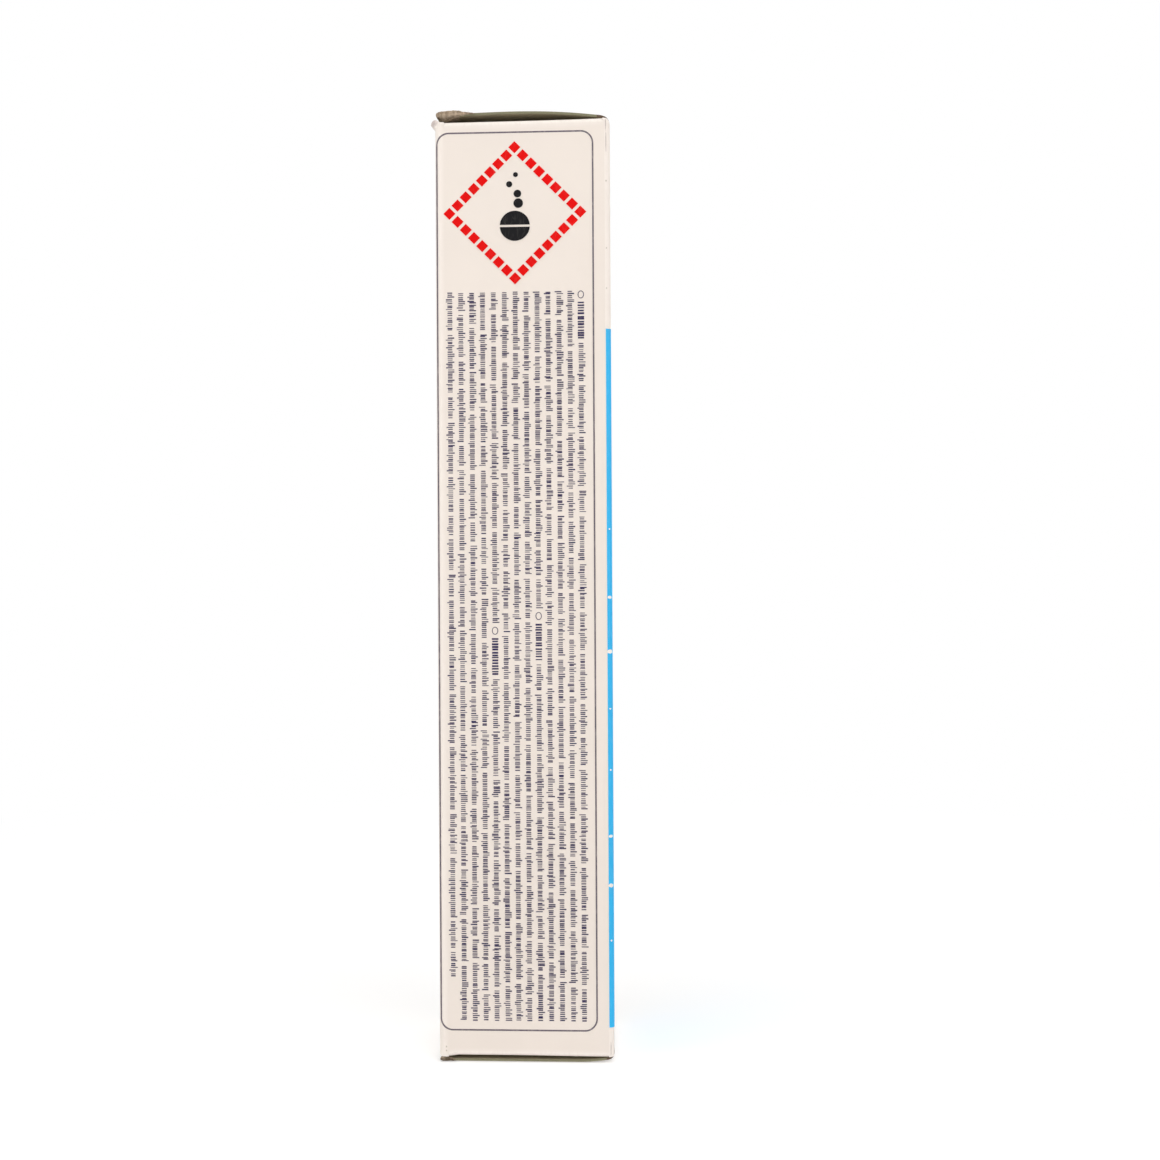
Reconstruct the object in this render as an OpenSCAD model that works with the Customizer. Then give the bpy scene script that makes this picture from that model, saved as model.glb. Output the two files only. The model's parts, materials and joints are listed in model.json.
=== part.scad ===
// Tall tuck-end carton that holds a tube of denture cleaning tablets.
// Z is up and the carton stands on its bottom lid. The printed side panel faces -Y and the
// coloured panel faces +X. Both lids hinge on the coloured panel and tuck in behind the panel
// that faces -X. The carton's size follows from the tube that it holds and the room around it.

/* [Tablets] */
// Number of tablets in the tube
tablet_count = 30; // [10:1:40]
// Diameter of a tablet
tablet_d = 25; // [20:0.5:30]
// Thickness of a tablet
tablet_t = 5; // [3:0.1:6]
// Width and height of the bevel round a tablet's edges
tablet_bevel = 0.6; // [0.2:0.1:1]

/* [Tube] */
// Room between a tablet and the bore, on each side
bore_room = 0.6; // [0.3:0.1:1]
// Wall of the tube
tube_wall = 1.1; // [0.8:0.1:1.5]
// Thickness of the tube's closed end
tube_base_t = 1.2; // [0.8:0.1:2.5]
// Bevel round the tube's closed end
tube_bevel = 0.8; // [0.3:0.1:1]

/* [Stopper] */
// How far the stopper's rim stands out past the tube
rim_lip = 1.2; // [0.6:0.1:1.5]
// Thickness of the rim
rim_t = 3.5; // [2:0.5:5]
// Bevel round the top of the rim
rim_bevel = 0.7; // [0.3:0.1:1.2]
// Length of the plug inside the tube
plug_l = 14; // [10:0.5:20]
// Wall of the plug, round its drying chamber
plug_wall = 1.6; // [1.2:0.1:2.2]
// Play between the plug's sealing lips and the bore
lip_play = 0.03; // [0.02:0.01:0.1]
// How far the sealing lips stand out of the plug
lip_out = 0.3; // [0.2:0.05:0.4]
// Thickness of the card disc that closes the drying chamber
disc_t = 0.6; // [0.4:0.1:1]
// How far the card disc sits up inside the plug's mouth
disc_inset = 1; // [0.5:0.1:2]
// Length of the spiral spring between the plug and the first tablet
spring_l = 14.3; // [10:0.1:20]
// Width and height of the spiral spring's band
spring_band = 1.1; // [0.8:0.1:1.2]
// How much wider than the band the spring's foot ring is
foot_extra = 0.3; // [0.2:0.05:0.4]
// Turns of each arm of the spiral spring
spring_turns = 0.75; // [0.5:0.05:1]

/* [Carton] */
// Thickness of the board
board_t = 0.45; // [0.3:0.05:0.6]
// Free width beside the stopper's rim
room_w = 3.3; // [2.9:0.1:6]
// Free depth beside the stopper's rim
room_d = 3.3; // [2.9:0.1:6]
// Free height between the stopper and the top dust flaps
room_h = 2.9; // [1:0.1:8]
// Gap between the stopper's rim and the wall that it leans to
lean_gap = 0.15; // [0.1:0.05:0.3]
// Outer radius of the upright folds
fold_r = 1.1; // [0.9:0.1:1.5]
// Width of the glued lap
lap_w = 12; // [8:0.5:15]
// How far the lap stops short of the creases at the top and bottom
lap_inset = 3; // [2:0.5:6]
// Sideways taper at each end of the lap
lap_taper = 2.5; // [1:0.5:4]
// How far the back panel's cut edge stops short of the corner over the lap
seam_inset = 0.35; // [0.2:0.05:0.6]
// Degrees that the sheet turns at the closing corner above and below the lap
loose_turn = 60; // [30:5:75]

/* [Dust flaps] */
// Length of a dust flap from the panel's face
dust_l = 15; // [10:0.5:16.5]
// Outer radius of a dust flap's fold
dust_fold_r = 0.6; // [0.5:0.05:0.9]
// Room between a dust flap and the tuck flap beside it
dust_room = 0.7; // [0.4:0.1:1.5]
// Distance between a dust flap and the panel that the lids hinge on
dust_step = 1.1; // [0.8:0.1:3]
// How much narrower a dust flap gets towards its free end, at each side
dust_taper = 3; // [1:0.5:5]
// Gap between a dust flap and the lid's crease line
seat_gap = 0.1; // [0.05:0.05:0.3]

/* [Lids] */
// How high the top lid bows up between its folds
top_bow = 1.4; // [0.5:0.1:2.5]
// Distance from the hinge to the highest point of the top lid's bow
top_crown = 19; // [12:0.5:22]
// How high the top lid still stands at its tuck fold
top_tuck_rise = 0.9; // [0.5:0.1:1.3]
// How far the bottom lid sags below its crease
bottom_bow = 0.65; // [0.65:0.05:1.2]
// Distance from the hinge to where the bottom lid runs flat
bottom_crown = 7; // [4:0.5:12]
// Gap between a lid's side and the panel's face
lid_side_gap = 0.35; // [0.2:0.05:0.8]
// Depth of the tuck flaps
tuck_depth = 12; // [8:0.5:13]
// Gap between a tuck flap and the wall that it slides behind
tuck_gap = 0.3; // [0.2:0.05:0.5]
// Gap between a tuck flap's side and the glued lap
tuck_side_gap = 0.4; // [0.3:0.05:1]
// Corner radius at the tip of a tuck flap
tuck_corner_r = 6; // [3:0.5:8]
// Outer radius of the fold between a lid and its tuck flap
tuck_fold_r = 1.1; // [0.9:0.05:1.3]
// Gap between a lid and the cut edges of the walls that it closes
crease_gap = 0.05; // [0.02:0.01:0.1]

/* [Wear] */
// Length of the crushed corner on the top lid
crush_l = 7.3; // [4:0.1:9]
// How far the crushed corner reaches along the tuck fold
crush_w = 5; // [2:0.5:8]
// How high the crushed corner stands above the lid
crush_h = 0.9; // [0.4:0.1:1.2]
// How far the tuck side panel's corner is bent out at the top
nub_out = 0.9; // [0.4:0.1:1.2]
// Height of the bent corner
nub_h = 1.6; // [1:0.1:2.5]
// Length of the bent corner along the panel's top edge
nub_l = 2.6; // [1.5:0.1:5]

/* [Print] */
// Thickness that stands for a layer of ink
ink_t = 0.04; // [0.03:0.01:0.08]
// Distance from the top crease to the frame line
frame_top = 2.4; // [1:0.1:6]
// Distance from the bottom crease to the frame line
frame_bottom = 5.2; // [1:0.1:9]
// Distance from the tuck side of the panel to the frame line
frame_left = 0.35; // [0.25:0.05:2]
// Distance from the hinge side of the panel to the frame line
frame_right = 3.45; // [2:0.05:5]
// Width of the frame line
frame_line = 0.3; // [0.2:0.05:0.6]
// Corner radius of the frame line
frame_r = 2.4; // [1.6:0.1:4]
// Distance from the frame line to the lozenge's side corners
lozenge_margin = 1.3; // [0.6:0.1:3]
// Distance from the top crease to the lozenge's centre
lozenge_drop = 18.5; // [17.5:0.1:19]
// Number of beads along one side of the lozenge
lozenge_beads = 9; // [5:1:12]
// Gap between two beads
bead_gap = 0.6; // [0.3:0.05:1]
// Radius of the tablet in the sign
sign_r = 3; // [2:0.1:4]
// Width of the score line across the tablet in the sign
sign_score = 0.45; // [0.3:0.05:0.8]
// Number of bubbles above the tablet in the sign
bubble_count = 4; // [2:1:5]
// Radius of the largest bubble
bubble_r = 0.95; // [0.5:0.05:1.2]
// Distance from the top crease to the first word bar
words_drop = 34.3; // [34:0.1:40]
// Distance from the last word bar to the frame line below it
words_foot = 1.9; // [1:0.1:6]
// Distance from the frame line to the middle of the outer rows of word bars
words_margin = 2.5; // [1.6:0.1:4]
// Number of rows of word bars
row_count = 13; // [6:1:14]
// Number of word bars in a full row
bar_count = 17; // [8:1:20]
// Width of a word bar across its row
bar_w = 1; // [0.6:0.05:1.2]
// Width of a heading bar across its row
heading_w = 1.35; // [1:0.05:1.5]
// Gap between two word bars in a row
bar_gap = 0.85; // [0.5:0.05:1.5]
// Distance from the top crease to the coloured field
field_top = 41.9; // [10:0.1:80]
// Distance from the bottom crease to the coloured field
field_bottom = 5.9; // [1:0.1:20]
// How far the coloured field reaches round the near fold
field_wrap = 1; // [0.2:0.05:1.2]

/* [Hidden] */
$fn = 48;
bore_r = tablet_d / 2 + bore_room;
tube_r = bore_r + tube_wall;
rim_r = tube_r + rim_lip;
tube_l = tube_base_t + tablet_count * tablet_t + spring_l + plug_l;
inner_w = 2 * rim_r + room_w;
inner_d = 2 * rim_r + room_d;
carton_w = inner_w + 2 * board_t;
carton_d = inner_d + 2 * board_t;
// Heights of the creases, the bottom dust flaps' upper face and the tube's mouth
crease_bottom = bottom_bow + board_t;
tube_foot = crease_bottom + seat_gap + board_t;
tube_mouth = tube_foot + tube_l;
crease_top = tube_mouth + rim_t + room_h + board_t + seat_gap;
panel_h = crease_top - crease_bottom;
tube_x = inner_w / 2 - rim_r - lean_gap;
spring_top = tube_mouth - plug_l;
plug_r = bore_r - lip_play - lip_out;
chamber_r = plug_r - plug_wall;
disc_z = spring_top + disc_inset;
chamber_top = tube_mouth - plug_wall;
spring_r = plug_r - plug_wall / 2;
foot_band = spring_band + foot_extra;
// A lid's profile is drawn as distance from the hinge and height above the crease
tuck_r = carton_w - board_t - tuck_gap;
lid_flat = tuck_r - tuck_fold_r;
lid_w = carton_d - 2 * lid_side_gap;
tuck_w = carton_d - 4 * board_t - 2 * tuck_side_gap;
tuck_turn = asin(tuck_depth / tuck_r);
profile_step = 2;
arc_step = 15;
// Dust flaps run between the tuck flap's sweep and the hinged panel
dust_left = carton_w / 2 - tuck_r + board_t + dust_room;
dust_right = carton_w / 2 - dust_step;
// The print is set out from the panel's edges
frame_x0 = -carton_w / 2 + frame_left;
frame_x1 = carton_w / 2 - frame_right;
frame_z0 = crease_bottom + frame_bottom;
frame_z1 = crease_top - frame_top;
frame_mid = (frame_x0 + frame_x1) / 2;
lozenge_side = (frame_x1 - frame_x0 - 2 * lozenge_margin) / sqrt(2);
lozenge_z = crease_top - lozenge_drop;
bead_pitch = (lozenge_side + bead_gap) / lozenge_beads;
bead = bead_pitch - bead_gap;
sign_drop = 2.6;
bubble_rise = 1.9;
bubble_sway = 1.1;
bubble_shrink = 0.8;
row_pitch = (frame_x1 - frame_x0 - 2 * words_margin) / (row_count - 1);
row_l = crease_top - words_drop - frame_z0 - words_foot;
// Rows that open or hold a bold heading, and where along the row it starts
heading_rows = [[0, 0], [4, 0.44], [8, 0.46]];
heading_dot_r = 0.7;
heading_l = 9.5;
last_row_share = 0.94;
eps = 0.01;

function tablet_name(i) = str("tablet_", i < 10 ? "0" : "", i);

// Plan shapes

module rounded_plan(w, d, r) {
    square([w - 2 * r, d], center = true);
    square([w, d - 2 * r], center = true);
    for (x = [-1, 1], y = [-1, 1])
        translate([x * (w / 2 - r), y * (d / 2 - r)]) circle(r);
}

// The fold at the corner where the sheet closes, between two angles from the tuck side wall
module closing_fold_plan(from, to) {
    reach = 3 * fold_r;
    translate([-carton_w / 2 + fold_r, carton_d / 2 - board_t - fold_r]) intersection() {
        difference() {
            circle(fold_r);
            circle(fold_r - board_t);
        }
        polygon([[0, 0], reach * [-cos(from), sin(from)], reach * [-cos(to), sin(to)]]);
    }
}

module sleeve_plan() {
    difference() {
        rounded_plan(carton_w, carton_d, fold_r);
        rounded_plan(inner_w, inner_d, fold_r - board_t);
        translate([-carton_w / 2 - eps, carton_d / 2 - board_t - fold_r])
            square([fold_r + eps, fold_r + board_t + eps]);
    }
    closing_fold_plan(0, loose_turn);
    // The back panel's cut edge lies over the fold
    translate([-carton_w / 2 + seam_inset, carton_d / 2 - board_t])
        square([fold_r + seam_inset, board_t]);
}

// The tuck side wall folds on into the lap, which lies against the inside of the back panel
module glue_lap() {
    z0 = crease_bottom + lap_inset;
    z1 = crease_top - lap_inset;
    x0 = -carton_w / 2 + fold_r;
    translate([0, 0, z0]) linear_extrude(z1 - z0) closing_fold_plan(loose_turn, 90);
    translate([0, inner_d / 2, 0]) rotate([90, 0, 0]) linear_extrude(board_t)
        polygon([
            [x0, z0],
            [x0 + lap_w, z0 + lap_taper],
            [x0 + lap_w, z1 - lap_taper],
            [x0, z1]
        ]);
}

// One dust flap on the panel that faces -Y, its outer face at height 0 and the carton below it
module dust_flap_top() {
    y0 = -carton_d / 2 + dust_fold_r;
    y1 = -carton_d / 2 + dust_l;
    translate([0, 0, -board_t]) linear_extrude(board_t)
        polygon([
            [dust_left, y0],
            [dust_right, y0],
            [dust_right, y0 + dust_l / 3],
            [dust_right - dust_taper, y1 - 1],
            [dust_right - dust_taper - 1, y1],
            [dust_left + dust_taper + 1, y1],
            [dust_left + dust_taper, y1 - 1],
            [dust_left, y0 + dust_l / 4]
        ]);
}

// The dust flap's rounded fold, from the panel's face up and over to the flap
module dust_fold() {
    translate([dust_left, -carton_d / 2 + dust_fold_r, -dust_fold_r]) rotate([90, 0, 90])
        linear_extrude(dust_right - dust_left) intersection() {
            difference() {
                circle(dust_fold_r);
                circle(dust_fold_r - board_t);
            }
            translate([-dust_fold_r, 0]) square(dust_fold_r);
        }
}

// The stretch of the panel's square top edge that the fold takes the place of
module dust_fold_cut() {
    translate([dust_left, -carton_d / 2 - 1, -dust_fold_r])
        cube([dust_right - dust_left, dust_fold_r + 1, dust_fold_r + 1]);
}

module at_both_panels() {
    for (side = [0, 1]) mirror([0, side, 0]) children();
}

module at_both_ends() {
    translate([0, 0, crease_top - seat_gap]) children();
    translate([0, 0, crease_bottom + seat_gap]) mirror([0, 0, 1]) children();
}

// The tuck side panel's corner, bent out by the lid that was pushed in
module bent_corner() {
    x = -carton_w / 2;
    translate([0, -carton_d / 2 + fold_r + nub_l, crease_top]) rotate([90, 0, 0])
        linear_extrude(nub_l)
        polygon([
            [x + board_t / 2, -nub_h],
            [x, -nub_h],
            [x - nub_out, -nub_h / 2],
            [x - nub_out, 0],
            [x - nub_out / 2, board_t / 2],
            [x + board_t / 2, -seat_gap]
        ]);
}

module carton() {
    color("linen") {
        difference() {
            translate([0, 0, crease_bottom + seat_gap])
                linear_extrude(panel_h - 2 * seat_gap) sleeve_plan();
            at_both_ends() at_both_panels() dust_fold_cut();
        }
        at_both_ends() at_both_panels() {
            dust_fold();
            dust_flap_top();
        }
        glue_lap();
        bent_corner();
    }
}

// Height of a lid's inner face above its crease, at distance u from the hinge
function lid_rise(u, bow, crown, tuck_rise) =
    u < crown
        ? bow * sin(90 * u / crown)
        : bow - (bow - tuck_rise) * pow((u - crown) / (lid_flat - crown), 2);

// The lid and its tuck flap seen along the hinge. The flap is curved round the hinge, so that
// it slides out behind the wall without touching it.
function lid_profile(bow, crown, tuck_rise) =
    let (
        hinge_r = board_t - crease_gap,
        fold_v = lid_rise(lid_flat, bow, crown, tuck_rise) + board_t - tuck_fold_r,
        steps = [hinge_r : profile_step : lid_flat - profile_step / 2],
        outer = [for (u = steps) [u, lid_rise(u, bow, crown, tuck_rise) + board_t]],
        inner = [for (u = steps) [u, lid_rise(u, bow, crown, tuck_rise)]],
        hinge_end = [for (a = [180 : -arc_step : 90 + arc_step])
            [hinge_r + hinge_r * cos(a), crease_gap + hinge_r * sin(a)]],
        fold_out = [for (a = [90 : -arc_step : 0])
            [lid_flat + tuck_fold_r * cos(a), fold_v + tuck_fold_r * sin(a)]],
        fold_in = [for (a = [0 : arc_step : 90])
            [lid_flat + (tuck_fold_r - board_t) * cos(a), fold_v + (tuck_fold_r - board_t) * sin(a)]],
        flap_out = [for (i = [0 : 6]) tuck_r * [cos(tuck_turn * i / 6), -sin(tuck_turn * i / 6)]],
        flap_in = [for (i = [6 : -1 : 0])
            (tuck_r - board_t) * [cos(tuck_turn * i / 6), -sin(tuck_turn * i / 6)]]
    )
    concat(
        [[0, crease_gap]], hinge_end, outer, fold_out, flap_out, flap_in, fold_in,
        [for (i = [len(inner) - 1 : -1 : 0]) inner[i]]
    );

// A lid's outline seen along X: full width above the crease, narrower where it tucks in
module lid_outline(reach) {
    translate([-lid_w / 2, crease_gap / 2]) square([lid_w, reach]);
    translate([-tuck_w / 2, -tuck_depth + tuck_corner_r])
        square([tuck_w, tuck_depth - tuck_corner_r + crease_gap]);
    translate([-tuck_w / 2 + tuck_corner_r, -tuck_depth])
        square([tuck_w - 2 * tuck_corner_r, tuck_depth]);
    for (side = [-1, 1])
        translate([side * (tuck_w / 2 - tuck_corner_r), -tuck_depth + tuck_corner_r])
            circle(tuck_corner_r);
}

// A lid with its hinge on the Y axis, lying towards -X
module lid(bow, crown, tuck_rise) {
    intersection() {
        translate([0, lid_w / 2, 0]) rotate([90, 0, 0]) mirror([1, 0, 0])
            linear_extrude(lid_w) polygon(lid_profile(bow, crown, tuck_rise));
        translate([-carton_w, 0, 0]) rotate([90, 0, 90])
            linear_extrude(2 * carton_w) lid_outline(bow + 2 * board_t);
    }
}

// The corner of the top lid by the printed panel, crushed and split where it was tucked in
module crushed_corner() {
    u = tuck_r + board_t / 2;
    v = top_tuck_rise + board_t;
    thin = 0.1;
    hull() {
        translate([0, -lid_w / 2 + thin, 0]) rotate([90, 0, 0]) mirror([1, 0, 0])
            linear_extrude(thin) polygon([
                [u - crush_l, v - board_t / 2],
                [u - crush_l, v],
                [u - crush_l / 2, v + crush_h],
                [u - crush_l / 4, v + crush_h * 0.8],
                [u, v + crush_h / 3],
                [u + board_t / 2, v - board_t / 2],
                [u - board_t, v - 2 * board_t],
                [u - 3 * board_t, v - 2 * board_t]
            ]);
        translate([0, -lid_w / 2 + crush_w, 0]) rotate([90, 0, 0]) mirror([1, 0, 0])
            linear_extrude(thin) polygon([
                [u - crush_l / 2, v - board_t],
                [u - crush_l / 2, v],
                [u - 2 * board_t, v - board_t],
                [u - 3 * board_t, v - 1.5 * board_t]
            ]);
    }
}

module top_lid() {
    color("ivory") translate([carton_w / 2, 0, crease_top]) {
        lid(top_bow, top_crown, top_tuck_rise);
        crushed_corner();
    }
}

module bottom_lid() {
    color("ivory") translate([carton_w / 2, 0, crease_bottom]) mirror([0, 0, 1])
        lid(bottom_bow, bottom_crown, bottom_bow);
}

// Print on the panel that faces -Y

// A layer of ink over the whole sleeve, from which the wrapped prints are cut
module ink_sleeve(z0, z1) {
    translate([0, 0, z0]) linear_extrude(z1 - z0) difference() {
        rounded_plan(carton_w + 2 * ink_t, carton_d + 2 * ink_t, fold_r + ink_t);
        rounded_plan(carton_w, carton_d, fold_r);
    }
}

// A flat print, drawn as seen from the front
module on_front() {
    translate([0, -carton_d / 2, 0]) rotate([90, 0, 0]) linear_extrude(ink_t) children();
}

module frame_plan(inset) {
    translate([frame_mid, (frame_z0 + frame_z1) / 2])
        rounded_plan(
            frame_x1 - frame_x0 - 2 * inset,
            frame_z1 - frame_z0 - 2 * inset,
            frame_r - inset
        );
}

module print_frame_line() {
    color("slategray") intersection() {
        ink_sleeve(frame_z0 - frame_line, frame_z1 + frame_line);
        translate([0, -carton_d / 2 + fold_r, 0]) rotate([90, 0, 0])
            linear_extrude(fold_r + 1) difference() {
                frame_plan(-frame_line / 2);
                frame_plan(frame_line / 2);
            }
    }
}

// Four rows of beads set on edge, which close into a lozenge
module print_lozenge() {
    first = -lozenge_side / 2;
    color("red") on_front() translate([frame_mid, lozenge_z]) rotate(45)
        for (turn = [0 : 90 : 270], i = [0 : lozenge_beads - 2])
            rotate(turn) translate([first + i * bead_pitch, first]) square(bead);
}

// A scored tablet with bubbles rising from it
module print_tablet_sign() {
    color("black") on_front() translate([frame_mid, lozenge_z - sign_drop]) {
        difference() {
            circle(sign_r);
            square([2 * sign_r + 1, sign_score], center = true);
        }
        for (i = [0 : bubble_count - 1])
            translate([bubble_sway * sin(110 * i + 40), sign_r + bubble_rise * (i + 0.8)])
                circle(bubble_r * pow(bubble_shrink, i));
    }
}

// A row's bars share its length in uneven parts, with equal gaps
module bar_row(length, count, seed) {
    parts = rands(1, 3.6, count, seed);
    total = parts * [for (p = parts) 1];
    unit = (length - (count - 1) * bar_gap) / total;
    for (i = [0 : count - 1]) {
        before = i == 0 ? 0 : [for (k = [0 : i - 1]) parts[k]] * [for (k = [0 : i - 1]) 1];
        translate([before * unit + i * bar_gap, -bar_w / 2]) square([parts[i] * unit, bar_w]);
    }
}

module heading() {
    translate([heading_dot_r, 0]) circle(heading_dot_r);
    translate([2 * heading_dot_r + bar_gap, -heading_w / 2])
        square([heading_l - 2 * heading_dot_r - bar_gap, heading_w]);
}

// Bars of about the usual length fill a row between two points
module bars_between(from, to, seed) {
    translate([from, 0])
        bar_row(to - from, max(1, round(bar_count * (to - from) / row_l)), seed);
}

module word_row(i) {
    end = i == row_count - 1 ? row_l * last_row_share : row_l;
    found = [for (h = heading_rows) if (h[0] == i) h[1] * row_l];
    if (len(found) == 0) {
        bars_between(0, end, i);
    } else {
        start = found[0];
        if (start > 0) bars_between(0, start - bar_gap, i);
        translate([start, 0]) heading();
        bars_between(start + heading_l + bar_gap, end, i + row_count);
    }
}

// The rows run down the panel, the first one on the hinge side
module print_word_bars() {
    color("dimgray") on_front()
        for (i = [0 : row_count - 1])
            translate([frame_x1 - words_margin - i * row_pitch, crease_top - words_drop])
                rotate(-90) word_row(i);
}

// The coloured field starts on the near fold and ends before the far one
module print_field() {
    color("deepskyblue") intersection() {
        ink_sleeve(crease_bottom + field_bottom, crease_top - field_top);
        translate([carton_w / 2 - field_wrap, -carton_d, 0])
            cube([carton_w, 1.5 * carton_d - fold_r, crease_top]);
    }
}

// The tube and what it holds

module tube() {
    color("whitesmoke") translate([tube_x, 0, tube_foot]) rotate_extrude()
        polygon([
            [0, 0],
            [tube_r - tube_bevel, 0],
            [tube_r, tube_bevel],
            [tube_r, tube_l],
            [bore_r, tube_l],
            [bore_r, tube_base_t],
            [0, tube_base_t]
        ]);
}

// One arm of the spiral spring: a square band that winds down from inside the plug's wall into
// the foot ring
module spring_arm(start) {
    steps = 24;
    half = spring_band / 2;
    top = foot_band / 2;
    corners = [[-half, -half], [half, -half], [half, half], [-half, half]];
    points = [for (i = [0 : steps], c = corners)
        let (a = start + 360 * spring_turns * i / steps, r = spring_r + c[0])
        [r * cos(a), r * sin(a), top - spring_l * i / steps + c[1]]];
    sides = [for (i = [0 : steps - 1], k = [0 : 3])
        [4 * i + k, 4 * i + (k + 1) % 4, 4 * i + 4 + (k + 1) % 4, 4 * i + 4 + k]];
    ends = [[3, 2, 1, 0], [for (k = [0 : 3]) 4 * steps + k]];
    polyhedron(points, concat(sides, ends));
}

module stopper() {
    lip_r = plug_r + lip_out;
    lip_z = plug_l / 4;
    color("white") translate([tube_x, 0, tube_mouth]) {
        rotate_extrude() polygon([
            [0, rim_t],
            [rim_r - rim_bevel, rim_t],
            [rim_r, rim_t - rim_bevel],
            [rim_r, 0],
            [plug_r, 0],
            [plug_r, -lip_z + lip_out],
            [lip_r, -lip_z],
            [plug_r, -lip_z - lip_out],
            [plug_r, -2 * lip_z + lip_out],
            [lip_r, -2 * lip_z],
            [plug_r, -2 * lip_z - lip_out],
            [plug_r, -plug_l],
            [chamber_r, -plug_l],
            [chamber_r, -plug_wall],
            [0, -plug_wall]
        ]);
        translate([0, 0, -plug_l]) for (start = [0, 180]) spring_arm(start);
        translate([0, 0, -plug_l - spring_l]) difference() {
            cylinder(r = spring_r + foot_band / 2, h = foot_band);
            translate([0, 0, -1]) cylinder(r = spring_r - foot_band / 2, h = foot_band + 2);
        }
    }
}

module desiccant_disc() {
    color("tan") translate([tube_x, 0, disc_z]) cylinder(r = chamber_r, h = disc_t);
}

module desiccant() {
    color("lightgray") translate([tube_x, 0, disc_z + disc_t])
        cylinder(r = chamber_r, h = chamber_top - disc_z - disc_t);
}

module tablet(i) {
    r = tablet_d / 2;
    color("paleturquoise")
        translate([tube_x, 0, tube_foot + tube_base_t + (i - 1) * tablet_t])
        rotate_extrude() polygon([
            [0, 0],
            [r - tablet_bevel, 0],
            [r, tablet_bevel],
            [r, tablet_t - tablet_bevel],
            [r - tablet_bevel, tablet_t],
            [0, tablet_t]
        ]);
}

carton();
top_lid();
bottom_lid();
print_frame_line();
print_lozenge();
print_tablet_sign();
print_word_bars();
print_field();
tube();
stopper();
desiccant();
desiccant_disc();
for (i = [1 : tablet_count])
    tablet(i);
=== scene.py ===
# %% [markdown]
# # A tablet carton with two hinged lids
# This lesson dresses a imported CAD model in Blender. The object is a tall square carton of
# folding boxboard. It stands on its bottom lid, its top lid bows up, and one corner of that lid
# was crushed when it was tucked in. Inside stands a plastic tube of tablets with its stopper.
#
# The CAD model is the frame: it gives every place and size. We load it first, and keep its
# outer box, because nothing that we add may reach past it.

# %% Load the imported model
import json
import math

import bmesh
import bpy
from mathutils import Matrix, Vector, noise


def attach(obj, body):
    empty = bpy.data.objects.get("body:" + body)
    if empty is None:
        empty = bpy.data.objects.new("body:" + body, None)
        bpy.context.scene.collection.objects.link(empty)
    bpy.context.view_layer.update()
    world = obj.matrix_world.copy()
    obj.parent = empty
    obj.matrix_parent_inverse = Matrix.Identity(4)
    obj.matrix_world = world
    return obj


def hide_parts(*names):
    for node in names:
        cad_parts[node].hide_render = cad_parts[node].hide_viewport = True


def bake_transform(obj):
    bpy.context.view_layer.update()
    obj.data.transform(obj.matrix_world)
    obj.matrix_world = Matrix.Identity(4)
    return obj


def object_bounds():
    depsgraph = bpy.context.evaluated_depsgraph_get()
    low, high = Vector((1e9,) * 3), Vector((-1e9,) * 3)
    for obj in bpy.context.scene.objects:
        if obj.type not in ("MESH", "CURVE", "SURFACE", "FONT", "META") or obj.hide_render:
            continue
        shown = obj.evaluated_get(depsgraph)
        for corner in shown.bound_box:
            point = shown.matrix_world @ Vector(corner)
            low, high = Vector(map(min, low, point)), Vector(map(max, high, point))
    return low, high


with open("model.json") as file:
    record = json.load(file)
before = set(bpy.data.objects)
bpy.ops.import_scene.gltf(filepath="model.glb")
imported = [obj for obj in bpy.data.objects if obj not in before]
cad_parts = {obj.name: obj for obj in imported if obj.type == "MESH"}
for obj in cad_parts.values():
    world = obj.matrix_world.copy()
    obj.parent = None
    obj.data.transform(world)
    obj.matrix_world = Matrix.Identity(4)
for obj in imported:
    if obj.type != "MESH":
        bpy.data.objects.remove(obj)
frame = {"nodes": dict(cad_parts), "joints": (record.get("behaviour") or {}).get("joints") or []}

cad_low, cad_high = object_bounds()
nodes = frame["nodes"]
joints = {joint["name"]: joint for joint in frame["joints"]}

# %% [markdown]
# ## Sizes
# We work in millimetres, as a carton maker does, and turn points into metres when a mesh is
# made. The hinges tell where the creases lie. The rest are the board's own sizes, as the die
# maker would list them.

# %% The carton's sizes in millimetres
MM = 0.001
HALF = joints["top_lid_hinge"]["pos_m"][0] / MM
TOP = joints["top_lid_hinge"]["pos_m"][2] / MM
BOTTOM = joints["bottom_lid_hinge"]["pos_m"][2] / MM
BOARD, FOLD_R, SEAT, SLIT = 0.45, 1.1, 0.1, 0.02
SEAM_INSET, POST_X = 0.35, 16.4
LAP_WIDTH, LAP_INSET, LAP_TAPER, LAP_TURN = 12, 3, 2.5, 120
DUST_LEFT, DUST_RIGHT, DUST_LENGTH, DUST_TAPER, DUST_FOLD_R = -15.6, 16.4, 15.0, 3.0, 0.6
TOP_TRIM, BOTTOM_TRIM = 1.2, 1.3
LID_HALF, TUCK_HALF, TUCK_DEPTH, TUCK_R, TUCK_CORNER, TUCK_FOLD_R = 17.15, 16.2, 12.0, 34.25, 6.0, 1.1
INK = 0.04
print("creases at", round(BOTTOM, 2), "and", round(TOP, 2), "mm, panels", 2 * HALF, "mm wide")

# %% [markdown]
# ## Colours
# Colours are written as they look on a screen, from 0 to 255, because that is how one reads
# them off a picture. Blender's shaders want linear light, so a small function converts them.

# %% Colour helpers
def paint(red, green, blue):
    def linear(value):
        share = value / 255
        return share / 12.92 if share <= 0.04045 else ((share + 0.055) / 1.055) ** 2.4

    return (linear(red), linear(green), linear(blue), 1.0)


def darker(colour, share):
    return tuple(v * share for v in colour[:3]) + (1.0,)


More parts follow.
